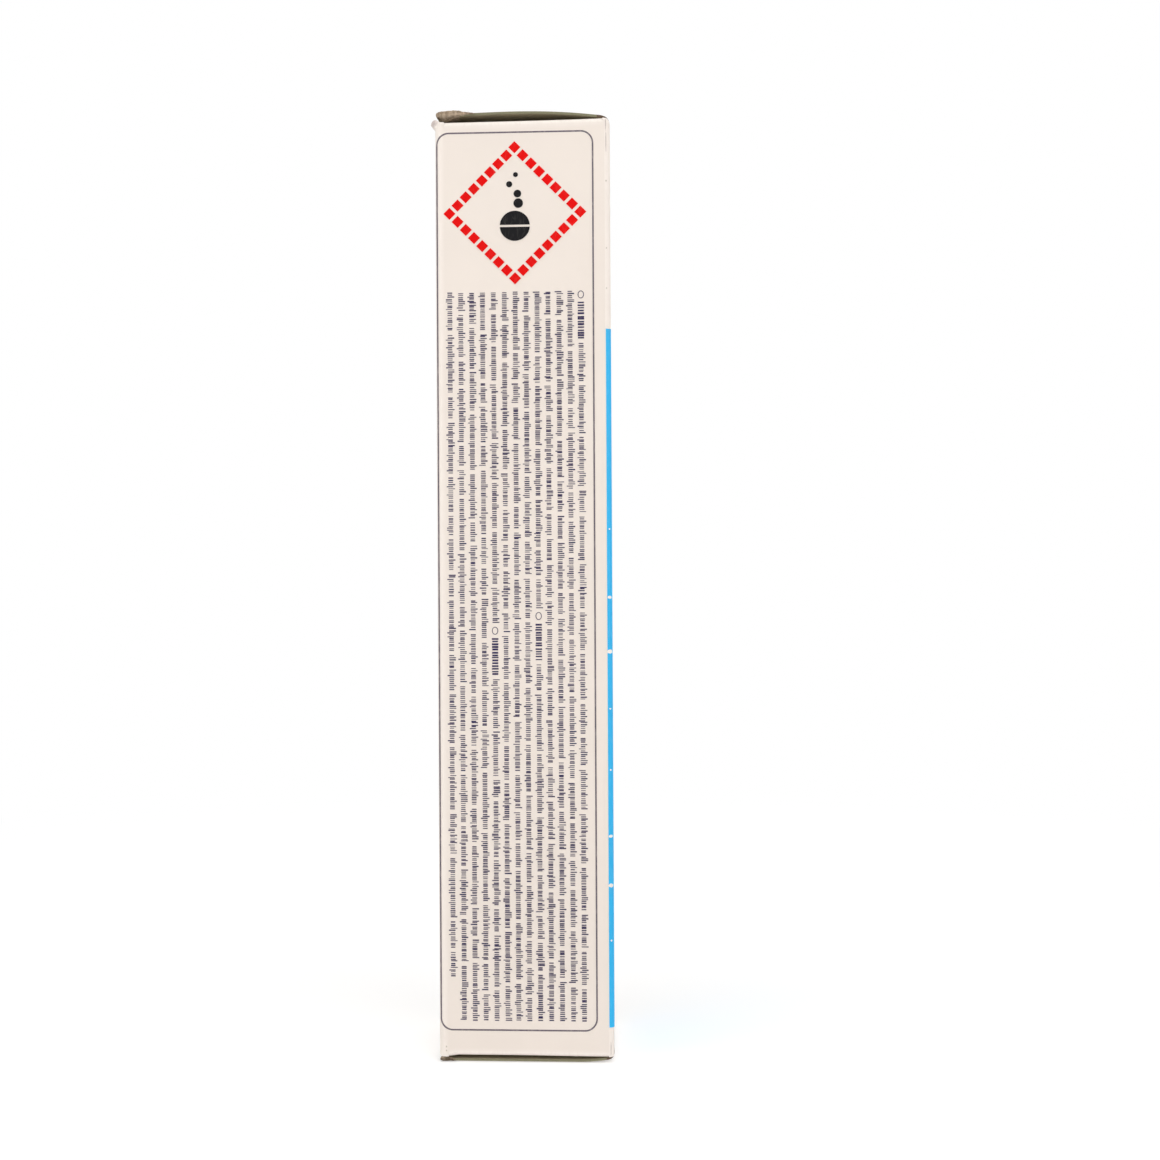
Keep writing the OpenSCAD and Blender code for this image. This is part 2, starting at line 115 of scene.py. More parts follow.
# FOLD_WHITE, the second colour below, whitens the folds: worn coat and a painted highlight
WHITE_COAT, FOLD_WHITE = paint(245, 234, 224), paint(255, 246, 238)
# The darker brown core, the last colour below, is painted shade for the crease strips' ends
GREY_BACK, RAW_CORE, CREASE_SHADE_CORE = paint(160, 150, 124), paint(152, 149, 120), paint(116, 96, 80)
TORN_LIGHT, TORN_DARK, TORN_SHADE = paint(226, 208, 186), paint(140, 120, 98), paint(96, 80, 60)
LINE_INK, WORD_INK, SIGN_INK = paint(112, 103, 112), paint(58, 50, 88), paint(18, 17, 20)
# The last colour below is painted shade, for the bent-out corner and the thin lines on the right fold
RED_INK, BLUE_INK, PAINTED_SHADE_GREY = paint(234, 3, 2), paint(58, 190, 248), paint(178, 162, 160)
print("board white is", [round(v, 3) for v in WHITE_COAT[:3]])

# %% [markdown]
# ## Effects that several finishes share
# Board has a faint mottle and short fibres, and both show in the print and in the raw edges
# too. Instead of building them again in each material, we make two shader groups with named
# inputs. A group puts out only values: the material decides what they change.
#
# Nodes are made by a few helpers. A socket takes either a plain value or another node's output,
# so one dictionary says all that goes into a node.

# %% Node helpers
NODE_PITCH = 220


def feed(tree, value, socket):
    """Links an output to a socket, or writes a plain value on it."""
    if isinstance(value, bpy.types.NodeSocket):
        tree.links.new(value, socket)
    else:
        socket.default_value = value


def add_node(tree, kind, sockets=None, **settings):
    node = tree.nodes.new(kind)
    node.location = (NODE_PITCH * len(tree.nodes), 0)
    for key, value in settings.items():
        setattr(node, key, value)
    for socket, value in (sockets or {}).items():
        feed(tree, value, node.inputs[socket])
    return node


def calc(tree, operation, *values, clamp=False):
    sockets = dict(enumerate(values))
    return add_node(tree, "ShaderNodeMath", sockets, operation=operation, use_clamp=clamp).outputs[0]


def new_group(name, inputs, outputs, kind="ShaderNodeTree"):
    """A group with named sockets, and the sockets that its inside reads and writes."""
    group = bpy.data.node_groups.new(name, kind)
    for way, sockets in (("INPUT", inputs), ("OUTPUT", outputs)):
        for socket, form, value in sockets:
            made = group.interface.new_socket(socket, in_out=way, socket_type="NodeSocket" + form)
            if value is not None:
                made.default_value = value
    return group, add_node(group, "NodeGroupInput").outputs, add_node(group, "NodeGroupOutput").inputs


# %% Board grain: a broad mottle and fine fibres
MOTTLE_SCALE, FIBRE_SCALE = 45.0, 1400.0


def make_board_grain():
    group, given, out = new_group(
        "board_grain",
        [("Vector", "Vector", None), ("Mottle Scale", "Float", MOTTLE_SCALE),
         ("Fibre Scale", "Float", FIBRE_SCALE)],
        [("Mottle", "Float", None), ("Fibres", "Float", None)])
    mottle = add_node(group, "ShaderNodeTexNoise", {
        "Vector": given["Vector"], "Scale": given["Mottle Scale"], "Detail": 4.0, "Roughness": 0.6})
    stretch = add_node(group, "ShaderNodeMapping", {"Vector": given["Vector"], "Scale": (1.0, 1.0, 0.35)})
    fibres = add_node(group, "ShaderNodeTexNoise", {
        "Vector": stretch.outputs[0], "Scale": given["Fibre Scale"], "Detail": 3.0, "Distortion": 0.8})
    feed(group, mottle.outputs[0], out["Mottle"])
    feed(group, fibres.outputs[0], out["Fibres"])
    return group


board_grain = make_board_grain()
print("made group", board_grain.name)

# %% A spot mask at a given place, for rubbed nicks and for painted shade
RAGGED_SCALE, NICK_REACH = 2600.0, 1.5


def make_nick_and_shade():
    group, given, out = new_group(
        "nick_and_shade",
        [("Vector", "Vector", None), ("Centre", "Vector", (0, 0, 0)), ("Width", "Float", 0.6 * MM),
         ("Height", "Float", 0.4 * MM), ("Crispness", "Float", 4.0)],
        [("Mask", "Float", None)])
    offset = add_node(group, "ShaderNodeVectorMath", {0: given["Vector"], 1: given["Centre"]},
                      operation="SUBTRACT")
    ragged = add_node(group, "ShaderNodeTexNoise", {"Vector": given["Vector"], "Scale": RAGGED_SCALE})
    parts = add_node(group, "ShaderNodeSeparateXYZ", {0: offset.outputs[0]})
    edge = ragged.outputs[0]
    for axis, extent in (("X", "Width"), ("Y", "Width"), ("Z", "Height")):
        share = calc(group, "DIVIDE", parts.outputs[axis], given[extent])
        edge = calc(group, "ADD", edge, calc(group, "MULTIPLY", share, share))
    near = calc(group, "SUBTRACT", NICK_REACH, edge)
    feed(group, calc(group, "MULTIPLY", near, given["Crispness"], clamp=True), out["Mask"])
    return group


nick_and_shade = make_nick_and_shade()
print("made group", nick_and_shade.name)

# %% [markdown]
# ## Finishes
# Each finish is one Principled shader. Its plain values stand on the shader's own sockets, and
# the groups feed only what varies over the surface: colour, roughness and bump.

# %% Material helpers
def new_finish(name, colour, roughness, specular):
    finish = bpy.data.materials.new(name)
    finish.use_nodes = True
    finish.diffuse_color = colour
    tree = finish.node_tree
    shader = tree.nodes["Principled BSDF"]
    for socket, value in (("Base Color", colour), ("Roughness", roughness), ("Specular IOR Level", specular)):
        shader.inputs[socket].default_value = value
    place = add_node(tree, "ShaderNodeTexCoord").outputs["Object"]
    return finish, tree, shader, place


def grain_of(tree, place, mottle_scale=MOTTLE_SCALE, fibre_scale=FIBRE_SCALE):
    node = add_node(tree, "ShaderNodeGroup", {
        "Vector": place, "Mottle Scale": mottle_scale, "Fibre Scale": fibre_scale}, node_tree=board_grain)
    return node.outputs["Mottle"], node.outputs["Fibres"]


def blend_colours(tree, factor, first, second):
    return add_node(tree, "ShaderNodeMix", {0: factor, 6: first, 7: second}, data_type="RGBA").outputs[2]


def span(tree, value, low, high, to_low=0.0, to_high=1.0):
    return add_node(tree, "ShaderNodeMapRange", {
        "Value": value, "From Min": low, "From Max": high, "To Min": to_low, "To Max": to_high}).outputs[0]


def bump(tree, shader, height, depth, strength):
    node = add_node(tree, "ShaderNodeBump", {"Height": height, "Distance": depth * MM, "Strength": strength})
    feed(tree, node.outputs[0], shader.inputs["Normal"])


def attribute(tree, name):
    return add_node(tree, "ShaderNodeAttribute", attribute_name=name).outputs["Fac"]


# %% [markdown]
# ### Coated board
# The outside of the board has a white coat with a thin varnish. The coat is stretched and
# cracked along the folds, so it is rougher there. It is also whiter there, from the worn coat and
# from a painted highlight, which also runs along the walls' top and bottom edges. How strong
# that is comes from an attribute which the mesh carries. A few brown specks lie by the folds.
# The bent-out corner has painted shade in grey-pink, and two stretches of the right fold have
# thin painted shadow lines.

# %% The coated outside
SPECKS = [(16.7, 175.7, 0.18, 0.22), (16.7, 162.3, 0.16, 0.2), (16.7, 154.3, 0.15, 0.2),
          (-16.1, 2.9, 0.16, 0.2), (-16.1, 2.1, 0.16, 0.2)]
# Painted shade on the bent-out corner, and painted shadow lines along the right fold
NUB_SHADE = [(-17.8, 188.0, 1.45, 1.0)]
SHADOW_LINES = [(16.66, 187.6, 0.16, 2.2), (16.7, 183.5, 0.12, 2.6), (16.8, 2.6, 0.12, 1.8)]
SPECK_SHARE, SHADE_SHARE = 0.42, 0.7
VARNISH_ROUGHNESS, WORN_ROUGHNESS = 0.42, 0.75
PAPER_BUMP = (0.02, 0.35)


def front_y(x):
    """Depth of the coat on the printed panel and on the folds beside it."""
    past = max(0.0, abs(x) - (HALF - FOLD_R))
    return -(HALF - FOLD_R) - math.sqrt(max(0.0, FOLD_R ** 2 - past ** 2))


def nicks_and_shade(tree, place, spots, crispness=4.0):
    """One mask for several (x, z, width, height) spots on the front, in millimetres."""
    mask = None
    for x, z, width, height in spots:
        spot = add_node(tree, "ShaderNodeGroup", {
            "Vector": place, "Centre": (x * MM, front_y(x) * MM, z * MM), "Width": width * MM,
            "Height": height * MM, "Crispness": crispness}, node_tree=nick_and_shade).outputs["Mask"]
        mask = calc(tree, "MAXIMUM", mask, spot) if mask else spot
    return mask


def make_coated_board():
    finish, tree, shader, place = new_finish("coated_board", WHITE_COAT, VARNISH_ROUGHNESS, 0.35)
    mottle, fibres = grain_of(tree, place)
    tone = blend_colours(tree, span(tree, mottle, 0.3, 0.7), darker(WHITE_COAT, 0.965), WHITE_COAT)
    patchy = span(tree, fibres, 0.3, 0.6, 0.55, 1.0)
    # Whiter folds and wall edges: worn coat and a painted highlight
    worn_and_lit = calc(tree, "MULTIPLY", attribute(tree, "wear_and_highlight"), patchy, clamp=True)
    folded = blend_colours(tree, worn_and_lit, tone, FOLD_WHITE)
    rubbed = calc(tree, "MULTIPLY", nicks_and_shade(tree, place, SPECKS), SPECK_SHARE)
    marked = blend_colours(tree, rubbed, folded, GREY_BACK)
    # Painted shade on the bent-out corner and painted shadow lines on the right fold
    either = calc(tree, "MAXIMUM", nicks_and_shade(tree, place, NUB_SHADE, 1.2), nicks_and_shade(tree, place, SHADOW_LINES, 1.4))
    painted_shade = calc(tree, "MULTIPLY", either, SHADE_SHARE)
    feed(tree, blend_colours(tree, painted_shade, marked, PAINTED_SHADE_GREY), shader.inputs["Base Color"])
    feed(tree, span(tree, worn_and_lit, 0.0, 1.0, VARNISH_ROUGHNESS, WORN_ROUGHNESS), shader.inputs["Roughness"])
    bump(tree, shader, fibres, *PAPER_BUMP)
    return finish


coated_board = make_coated_board()

# %% [markdown]
# ### The grey back and the cut edges
# The board is made of waste paper with a white coat on one side. Its back is an olive grey with
# darker fibres. A cut edge shows the plies: a point attribute runs from 0 at the coat to 1 at the
# back, so a thin white line follows the outside of every cut edge. On a torn lump the same
# attribute carries painted shade instead, darker lower down.

# %% The uncoated back, the cut edges and the torn corner
def make_grey_back():
    finish, tree, shader, place = new_finish("grey_back", GREY_BACK, 0.9, 0.2)
    mottle, fibres = grain_of(tree, place, 120.0, 900.0)
    fleck = calc(tree, "MULTIPLY", span(tree, fibres, 0.35, 0.7), mottle)
    tone = blend_colours(tree, fleck, darker(GREY_BACK, 0.88), darker(GREY_BACK, 1.18))
    feed(tree, tone, shader.inputs["Base Color"])
    bump(tree, shader, fibres, 0.04, 0.6)
    return finish


def make_cut_edge(name, core, coat_share):
    finish, tree, shader, place = new_finish(name, core, 0.9, 0.2)
    mottle, fibres = grain_of(tree, place, 260.0, 2200.0)
    ply = attribute(tree, "ply")
    layer = add_node(tree, "ShaderNodeCombineXYZ", {"X": calc(tree, "MULTIPLY_ADD", mottle, 0.5, ply)})
    bands = add_node(tree, "ShaderNodeTexWave", {"Vector": layer.outputs[0], "Scale": 0.9},
                     wave_type="BANDS", bands_direction="X").outputs["Fac"]
    streaks = calc(tree, "MULTIPLY", bands, fibres)
    plies = blend_colours(tree, streaks, darker(core, 0.74), darker(core, 1.16))
    coat = span(tree, ply, 0.03, 0.12, coat_share, 0.0)
    feed(tree, blend_colours(tree, coat, plies, WHITE_COAT), shader.inputs["Base Color"])
    bump(tree, shader, bands, 0.06, 0.7)
    return finish


def make_torn_board():
    finish, tree, shader, place = new_finish("torn_board", TORN_LIGHT, 0.95, 0.15)
    mottle, fibres = grain_of(tree, place, 520.0, 1900.0)
    streak = calc(tree, "ADD", mottle, calc(tree, "MULTIPLY", fibres, 0.45))
    tone = blend_colours(tree, span(tree, streak, 0.5, 0.88), TORN_DARK, TORN_LIGHT)
    # Painted shade: the torn lump darkens below its light height
    shade = span(tree, attribute(tree, "ply"), 0.0, 1.0, 0.0, 0.85)
    ragged = calc(tree, "MULTIPLY_ADD", mottle, 0.9, attribute(tree, "wear_and_highlight"))
    coat = span(tree, ragged, 0.82, 0.96, 0.0, 0.92)
    torn = blend_colours(tree, shade, tone, TORN_SHADE)
    feed(tree, blend_colours(tree, coat, torn, WHITE_COAT), shader.inputs["Base Color"])
    bump(tree, shader, streak, 0.12, 0.8)
    return finish


grey_back, torn_board = make_grey_back(), make_torn_board()
cut_edge = make_cut_edge("cut_edge", RAW_CORE, 0.6)
# The crease strips' cut edges are a darker brown with little white coat line: painted shade at the hinge ends
crease_shade_edge = make_cut_edge("crease_shade_edge", CREASE_SHADE_CORE, 0.1)
board_finishes = [coated_board, grey_back, cut_edge]
print("board finishes:", [finish.name for finish in board_finishes + [torn_board]])

# %% [markdown]
# ### Inks
# Ink lies in the coat, so it shares the board's grain. A little of the board shows through
# where the ink is thin. The blue field also has nicks where the fold was knocked.

# %% Ink finishes
FOLD_NICKS = [(17.0, z, width, height) for z, width, height in (
    (106.3, 0.2, 0.2), (92.7, 0.5, 0.3), (81.9, 0.6, 0.45), (70.5, 0.25, 0.15),
    (58.3, 0.2, 0.2), (45.1, 0.5, 0.3), (35.3, 0.6, 0.4), (24.3, 0.2, 0.2))]


def make_ink(name, colour, thin, roughness=0.4, spots=()):
    finish, tree, shader, place = new_finish(name, colour, roughness, 0.15)
    mottle, fibres = grain_of(tree, place, 70.0, 1600.0)
    sparse = calc(tree, "MULTIPLY", span(tree, fibres, 0.5, 0.8), thin, clamp=True)
    tone = blend_colours(tree, span(tree, mottle, 0.3, 0.7), darker(colour, 0.94), colour)
    inked = blend_colours(tree, sparse, tone, WHITE_COAT)
    if spots:
        inked = blend_colours(tree, nicks_and_shade(tree, place, spots), inked, FOLD_WHITE)
    feed(tree, inked, shader.inputs["Base Color"])
    bump(tree, shader, fibres, *PAPER_BUMP)
    return finish


def dress(node, finish):
    for holder in node.material_slots:
        holder.material = finish


inks = {
    "print_frame_line": make_ink("line_ink", LINE_INK, 0.25),
    "print_lozenge": make_ink("red_ink", RED_INK, 0.03),
    "print_tablet_sign": make_ink("black_ink", SIGN_INK, 0.03),
    "print_field": make_ink("blue_ink", BLUE_INK, 0.05, 0.38, FOLD_NICKS),
}
word_ink = make_ink("word_ink", WORD_INK, 0.1)
for name, ink in inks.items():
    dress(nodes[name], ink)
print("inked", list(inks))

# %% [markdown]
# ## Sheets of board
# Everything folded is a sheet with a coated side, a grey side and cut edges. One helper builds
# such a solid from two grids of points, the outer and the inner one. It gives each side its own
# material, and writes the two attributes that the finishes read. Normals are worked out anew
# once the solid is closed, so that all faces point outwards.

# %% Small helpers for shapes
def smooth(share):
    share = max(0.0, min(1.0, share))
    return share * share * (3 - 2 * share)


def spread(low, high, count):
    return [low + (high - low) * i / count for i in range(count + 1)]


def turned(degrees):
    return math.cos(math.radians(degrees)), math.sin(math.radians(degrees))


def spline(points, per_side):
    """Points on a smooth curve from the second to the last but one point (Catmull-Rom)."""
    points, made = [Vector(p) for p in points], []
    for p0, p1, p2, p3 in zip(points, points[1:], points[2:], points[3:]):
        for t in spread(0, 1, per_side)[:-1]:
            made.append(0.5 * ((2 * p1) + (p2 - p0) * t + (2 * p0 - 5 * p1 + 4 * p2 - p3) * t * t
                               + (3 * p1 - p0 - 3 * p2 + p3) * t ** 3))
    return made


def new_object(name, data):
    made = bpy.data.objects.new(name, data)
    bpy.context.scene.collection.objects.link(made)
    return made


def solid_mesh(name, points, faces):
    """A closed mesh from points in millimetres, with all its faces turned outwards."""
    mesh = bpy.data.meshes.new(name)
    mesh.from_pydata([Vector(p) * MM for p in points], [], faces)
    work = bmesh.new()
    work.from_mesh(mesh)
    bmesh.ops.recalc_face_normals(work, faces=work.faces)
    work.to_mesh(mesh)
    work.free()
    return mesh


# %% The sheet helper
COAT, BACK, EDGE, TORN = range(4)
SHARP = math.radians(32)
SHADE_DEPTH, COAT_Y, COAT_RUN, COAT_DROP, COAT_RISE = 1.3, -17.0, 1.4, 0.4, 0.5


class Sheets:
    def __init__(self):
        self.points, self.faces, self.kinds, self.ply, self.wear_and_highlight = [], [], [], [], []

    def add(self, outer, inner, wear_and_highlight):
        """Adds a solid between two grids of columns of points."""
        columns, rows = len(outer), len(outer[0])
        base = len(self.points)
        for side, grid in enumerate((outer, inner)):
            for column, worn_and_lit in zip(grid, wear_and_highlight):
                self.points += column
                self.ply += [float(side)] * rows
                self.wear_and_highlight += worn_and_lit

        def face(kind, *corners):
            self.faces.append(tuple(base + (side * columns + c) * rows + r for side, c, r in corners))
            self.kinds.append(kind)

        for c in range(columns - 1):
            for r in range(rows - 1):
                face(COAT, (0, c, r), (0, c, r + 1), (0, c + 1, r + 1), (0, c + 1, r))
                face(BACK, (1, c, r), (1, c + 1, r), (1, c + 1, r + 1), (1, c, r + 1))
        rim = [(c, 0) for c in range(columns)] + [(columns - 1, r) for r in range(1, rows)]
        rim += [(c, rows - 1) for c in range(columns - 2, -1, -1)] + [(0, r) for r in range(rows - 2, 0, -1)]
        for here, ahead in zip(rim, rim[1:] + rim[:1]):
            face(EDGE, (0, *here), (0, *ahead), (1, *ahead), (1, *here))

    def add_torn(self, points, faces, light_z):
        """Adds a torn lump, with painted shade that darkens it below a height, and coated only on its far
        top.
        """
        base = len(self.points)
        self.points += points
        for _, y, z in points:
            # On a lump the ply value is painted shade, darker below light_z
            self.ply.append(smooth((light_z - z) / SHADE_DEPTH))
            self.wear_and_highlight.append(smooth((y - COAT_Y) / COAT_RUN) * smooth((z - light_z + COAT_DROP) / COAT_RISE))
        self.faces += [tuple(base + k for k in face) for face in faces]
        self.kinds += [TORN] * len(faces)

    def piece(self, name, finishes):
        mesh = solid_mesh(name, self.points, self.faces)
        for label, values in (("ply", self.ply), ("wear_and_highlight", self.wear_and_highlight)):
            mesh.attributes.new(label, "FLOAT", "POINT").data.foreach_set("value", values)
        mesh.polygons.foreach_set("material_index", self.kinds)
        for finish in finishes:
            mesh.materials.append(finish)
        mesh.polygons.foreach_set("use_smooth", [True] * len(mesh.polygons))
        mesh.set_sharp_from_angle(angle=SHARP)
        print(name, "has", len(mesh.polygons), "faces")
        return new_object(name, mesh)


# %% [markdown]
# ## Handling
# No carton stays true. The wall under the top hinge leans in where the lid pulls on it, the
# corner beside the crushed lid is bent out, and the lower left corner of the printed panel
# curls down. Each is a small shift that depends only on where a point is, so the same function
# serves the walls and the dust flaps, and they stay joined.

# %% How handling has shifted the sheet
LEAN_HEIGHT, LEAN, LEAN_X = 1.2, 0.36, 14.2
FOOT_HEIGHT, FOOT_LEAN = 6.0, 0.16
NUB_OUT, NUB_LOW, NUB_HIGH = 0.88, TOP - 1.2, TOP - 0.1
HOLLOW, HOLLOW_PITCH, HOLLOW_FADE = 0.05, 21, 25
CREST, CREST_DIP, FOOT_CREST, FOOT_CURL = 0.25, 0.04, 0.12, 0.3


def settle(x, y, z):
    rise = max(0.0, z - (TOP - LEAN_HEIGHT))
    x -= smooth((x - LEAN_X) / 2.4) * LEAN * (rise / LEAN_HEIGHT) ** 2
    foot = max(0.0, FOOT_HEIGHT - z) / FOOT_HEIGHT
    x -= smooth((x - 16.2) / 1.2) * smooth((-15.8 - y) / 1.2) * FOOT_LEAN * foot ** 2
    if x < -16.2:
        window = smooth((y + 17.35) / 0.8) * smooth((-13.0 - y) / 1.6)
        x -= NUB_OUT * smooth((z - NUB_LOW) / 0.8) * (1 - 0.6 * smooth((z - NUB_HIGH) / 0.6)) * window
    wave = 0.5 + 0.5 * math.sin(z / HOLLOW_PITCH + 0.7)
    middle = smooth(z / HOLLOW_FADE) * smooth((TOP - z) / HOLLOW_FADE)
    inside_x, inside_y = max(0.0, 1 - (x / 15) ** 2), max(0.0, 1 - (y / 15) ** 2)
    if abs(y) > 17:
        y -= math.copysign(HOLLOW * wave * inside_x * middle, y)
    if abs(x) > 17:
        x -= math.copysign(HOLLOW * wave * inside_y * middle, x)
    return x, y, z


def crest(x, end, side):
    """How far a dust flap's fold runs above its true height."""
    if side > 0:
        return 0.05 * math.sin(x / 6)
    if end > 0:
        return CREST * max(0.0, (x + 9) / 25) ** 2 - CREST_DIP * smooth((-4 - x) / 10)
    return -(FOOT_CREST * smooth((x + 3) / 17) + FOOT_CURL * smooth((-13.4 - x) / 2.6))


print("the hinge wall leans in by up to", LEAN, "mm")

# %% [markdown]
# ## The sleeve
# Seen from above, the sheet is one line: it starts at the back panel's cut edge, turns round
# four folds, and ends in the glued lap behind the back panel. We walk along that line, and at
# each step note the point, the way that faces out, and how high the sheet reaches there.
# Where a dust flap or a lid begins, the wall stops at its fold, so two steps a hair apart make
# the slit beside it.

# %% The sleeve's line, seen from above
CLEAR = 0.3


def sleeve_line():
    """Steps of (x, y, facing x, facing y, kind) along the outside of the sheet."""
    near, lap_y = HALF - FOLD_R, HALF - BOARD - FOLD_R
    across = [DUST_LEFT - SLIT] + spread(DUST_LEFT, DUST_RIGHT - SLIT, 18)
    line = []

    def panel(points, fx, fy, kind):
        line.extend((x, y, fx, fy, kind) for x, y in points)

    def fold(cx, cy, start, end, kind="fold", count=8):
        for fx, fy in (turned(angle) for angle in spread(start, end, count)):
            line.append((cx + FOLD_R * fx, cy + FOLD_R * fy, fx, fy, kind))

    panel([(x, HALF) for x in (-HALF + SEAM_INSET, -POST_X, across[0])], 0, 1, "back_post")
    panel([(x, HALF) for x in across[1:]], 0, 1, "back")
    fold(near, near, 90, 0)
    panel([(HALF, y) for y in spread(near - SLIT, -near + SLIT, 18)], 1, 0, "hinge")
    fold(near, -near, 0, -90)
    panel([(x, -HALF) for x in reversed(across[1:])], 0, -1, "front")
    panel([(across[0], -HALF)], 0, -1, "front_post")
    fold(-near, -near, -90, -180)
    panel([(-HALF, y) for y in spread(-near + CLEAR, lap_y - CLEAR, 24)], -1, 0, "tuck")
    fold(-near, lap_y, 180, LAP_TURN, "fold", 5)
    fold(-near, lap_y, LAP_TURN - 0.5, 90, "lap_fold", 3)
    panel([(x, HALF - BOARD) for x in spread(-near + CLEAR, -near + LAP_WIDTH, 6)], 0, 1, "lap")
    return line


def reach(x, kind):
    """Lowest and highest point of the sheet at a step of the line."""
    low, high = BOTTOM + SEAT, TOP - SEAT
    if kind in ("back", "front"):
        side = 1 if kind == "back" else -1
        return low + DUST_FOLD_R + crest(x, -1, side), high - DUST_FOLD_R + crest(x, 1, side)
    if kind == "hinge":
        return BOTTOM + BOTTOM_TRIM, TOP - TOP_TRIM
    if kind == "front_post":
        return low + crest(x, -1, -1), high + crest(x, 1, -1)
    if kind in ("lap_fold", "lap"):
        inset = LAP_INSET + LAP_TAPER * max(0.0, x + POST_X) / LAP_WIDTH
        return BOTTOM + inset, TOP - inset
    return low, high


print(len(sleeve_line()), "steps round the sleeve")

# %% Make the sleeve
END_SHARES = [0, 0.002, 0.005, 0.009, 0.014, 0.02, 0.03, 0.05, 0.08, 0.12]
ROW_SHARES = END_SHARES + spread(0.16, 0.84, 24) + [1 - share for share in reversed(END_SHARES)]
TUCK_RISE, NUB_RISE, LEFT_RISE, RIGHT_RISE = 0.3, 0.3, 0.6, 0.1
LEFT_DROP, RIGHT_DROP = 0.3, 0.1
FOLD_WEAR_AND_HIGHLIGHT, EDGE_WEAR_AND_HIGHLIGHT, EDGE_BAND = 0.55, 0.9, 0.6


def sleeve_sheet(sheets):
    outer, inner, wear_and_highlight = [], [], []
    for x, y, fx, fy, kind in sleeve_line():
        low, high = reach(x, kind)
        if kind == "tuck":
            high += TUCK_RISE * smooth((-13 - y) / 2) + NUB_RISE * smooth((-14.4 - y) / 1.2)
        if kind == "fold" and y < 0:
            facing_front = smooth((-fy - 0.05) / 0.9)
            low -= (LEFT_DROP if x < 0 else RIGHT_DROP) * facing_front
            high += LEFT_RISE * smooth(-fx) if x < 0 else RIGHT_RISE + 0.15 * facing_front
        heights = [low + (high - low) * share for share in ROW_SHARES]
        outer.append([settle(x, y, z) for z in heights])
        inner.append([settle(x - BOARD * fx, y - BOARD * fy, z) for z in heights])
        # The folds and the bands along the walls' top and bottom edges are whitened: worn coat and a painted
        # highlight
        corner = FOLD_WEAR_AND_HIGHLIGHT if "fold" in kind else 0.0
        wear_and_highlight.append([max(corner, EDGE_WEAR_AND_HIGHLIGHT * smooth((low + EDGE_BAND - z) / EDGE_BAND),
                         EDGE_WEAR_AND_HIGHLIGHT * smooth((z - high + EDGE_BAND) / EDGE_BAND)) for z in heights])
    sheets.add(outer, inner, wear_and_highlight)


# %% [markdown]
# ## Dust flaps
# The printed panel and the back panel each end in a short flap at both ends, which folds in
# under the lid. A flap starts with a tight rounded fold, narrows towards its free end, and
# droops a little. The four of them are the same rule with two signs changed.

# %% Dust flaps
DROOP = 0.7


def flap_edges(out):
    """Left and right edge of a dust flap, at a distance out from the panel's fold."""
    length = DUST_LENGTH - DUST_FOLD_R
    tip = smooth(out - length + 1)
    left = DUST_LEFT + DUST_TAPER * smooth(max(0.0, out - 3.7) / (length - 4.7)) + tip
    right = DUST_RIGHT - DUST_TAPER * smooth(max(0.0, out - 5) / (length - 6)) - tip
    return left, right - SLIT


def dust_flap(sheets, end, side):
    """Adds one flap: end is 1 at the top and -1 at the bottom, side is -1 at the front."""
    outer_r, inner_r, length = DUST_FOLD_R, DUST_FOLD_R - BOARD, DUST_LENGTH - DUST_FOLD_R
    steps = []
    for angle in spread(0, 90, 8):
        c, s = turned(angle)
        # The fold's arc is whitened all round: worn coat and a painted highlight
        steps.append((0.0, outer_r * (1 - c), outer_r * s - outer_r, outer_r - inner_r * c,
                      inner_r * s - outer_r, max(EDGE_WEAR_AND_HIGHLIGHT, smooth(angle / 25))))
    for out in spread(0, length, 14)[1:]:
        droop = DROOP * (out / length) ** 1.5
        steps.append((out, outer_r + out, -droop, outer_r + out, -BOARD - droop, max(0.0, 1 - out / 1.5)))
    base = TOP - SEAT if end > 0 else BOTTOM + SEAT
    outer, inner, wear_and_highlight = [], [], []
    for share in spread(0, 1, 16):
        columns = [], []
        for out, depth_o, height_o, depth_i, height_i, _ in steps:
            left, right = flap_edges(out)
            x = left + (right - left) * share
            for column, depth, height in zip(columns, (depth_o, depth_i), (height_o, height_i)):
                column.append(settle(x, side * (HALF - depth), base + crest(x, end, side) + end * height))
        outer.append(columns[0])
        inner.append(columns[1])
        wear_and_highlight.append([step[5] for step in steps])
    sheets.add(outer, inner, wear_and_highlight)


sleeve_sheets = Sheets()
sleeve_sheet(sleeve_sheets)
for end in (1, -1):
    for side in (-1, 1):
        dust_flap(sleeve_sheets, end, side)
carton_sleeve = sleeve_sheets.piece("carton_sleeve", board_finishes)
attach(carton_sleeve, "carton")
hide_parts("carton")

# %% [markdown]
# ## Lids
# A lid is drawn from the side, as distance from the hinge and height above the crease. It bows
# up, rounds over the tuck fold, and its flap curves round the hinge, so that it can slide out.
# The side view gives the rows, and the width at each row gives the columns.

# %% The side view of a lid
TOP_START, TOP_BOW, TOP_CROWN, TOP_TUCK, TOP_SPRING = 2.6, 1.4, 19, 0.9, 0.12
BOTTOM_START, BOTTOM_BOW, BOTTOM_CROWN = 1.6, 0.65, 7
LID_RIPPLE = 0.12


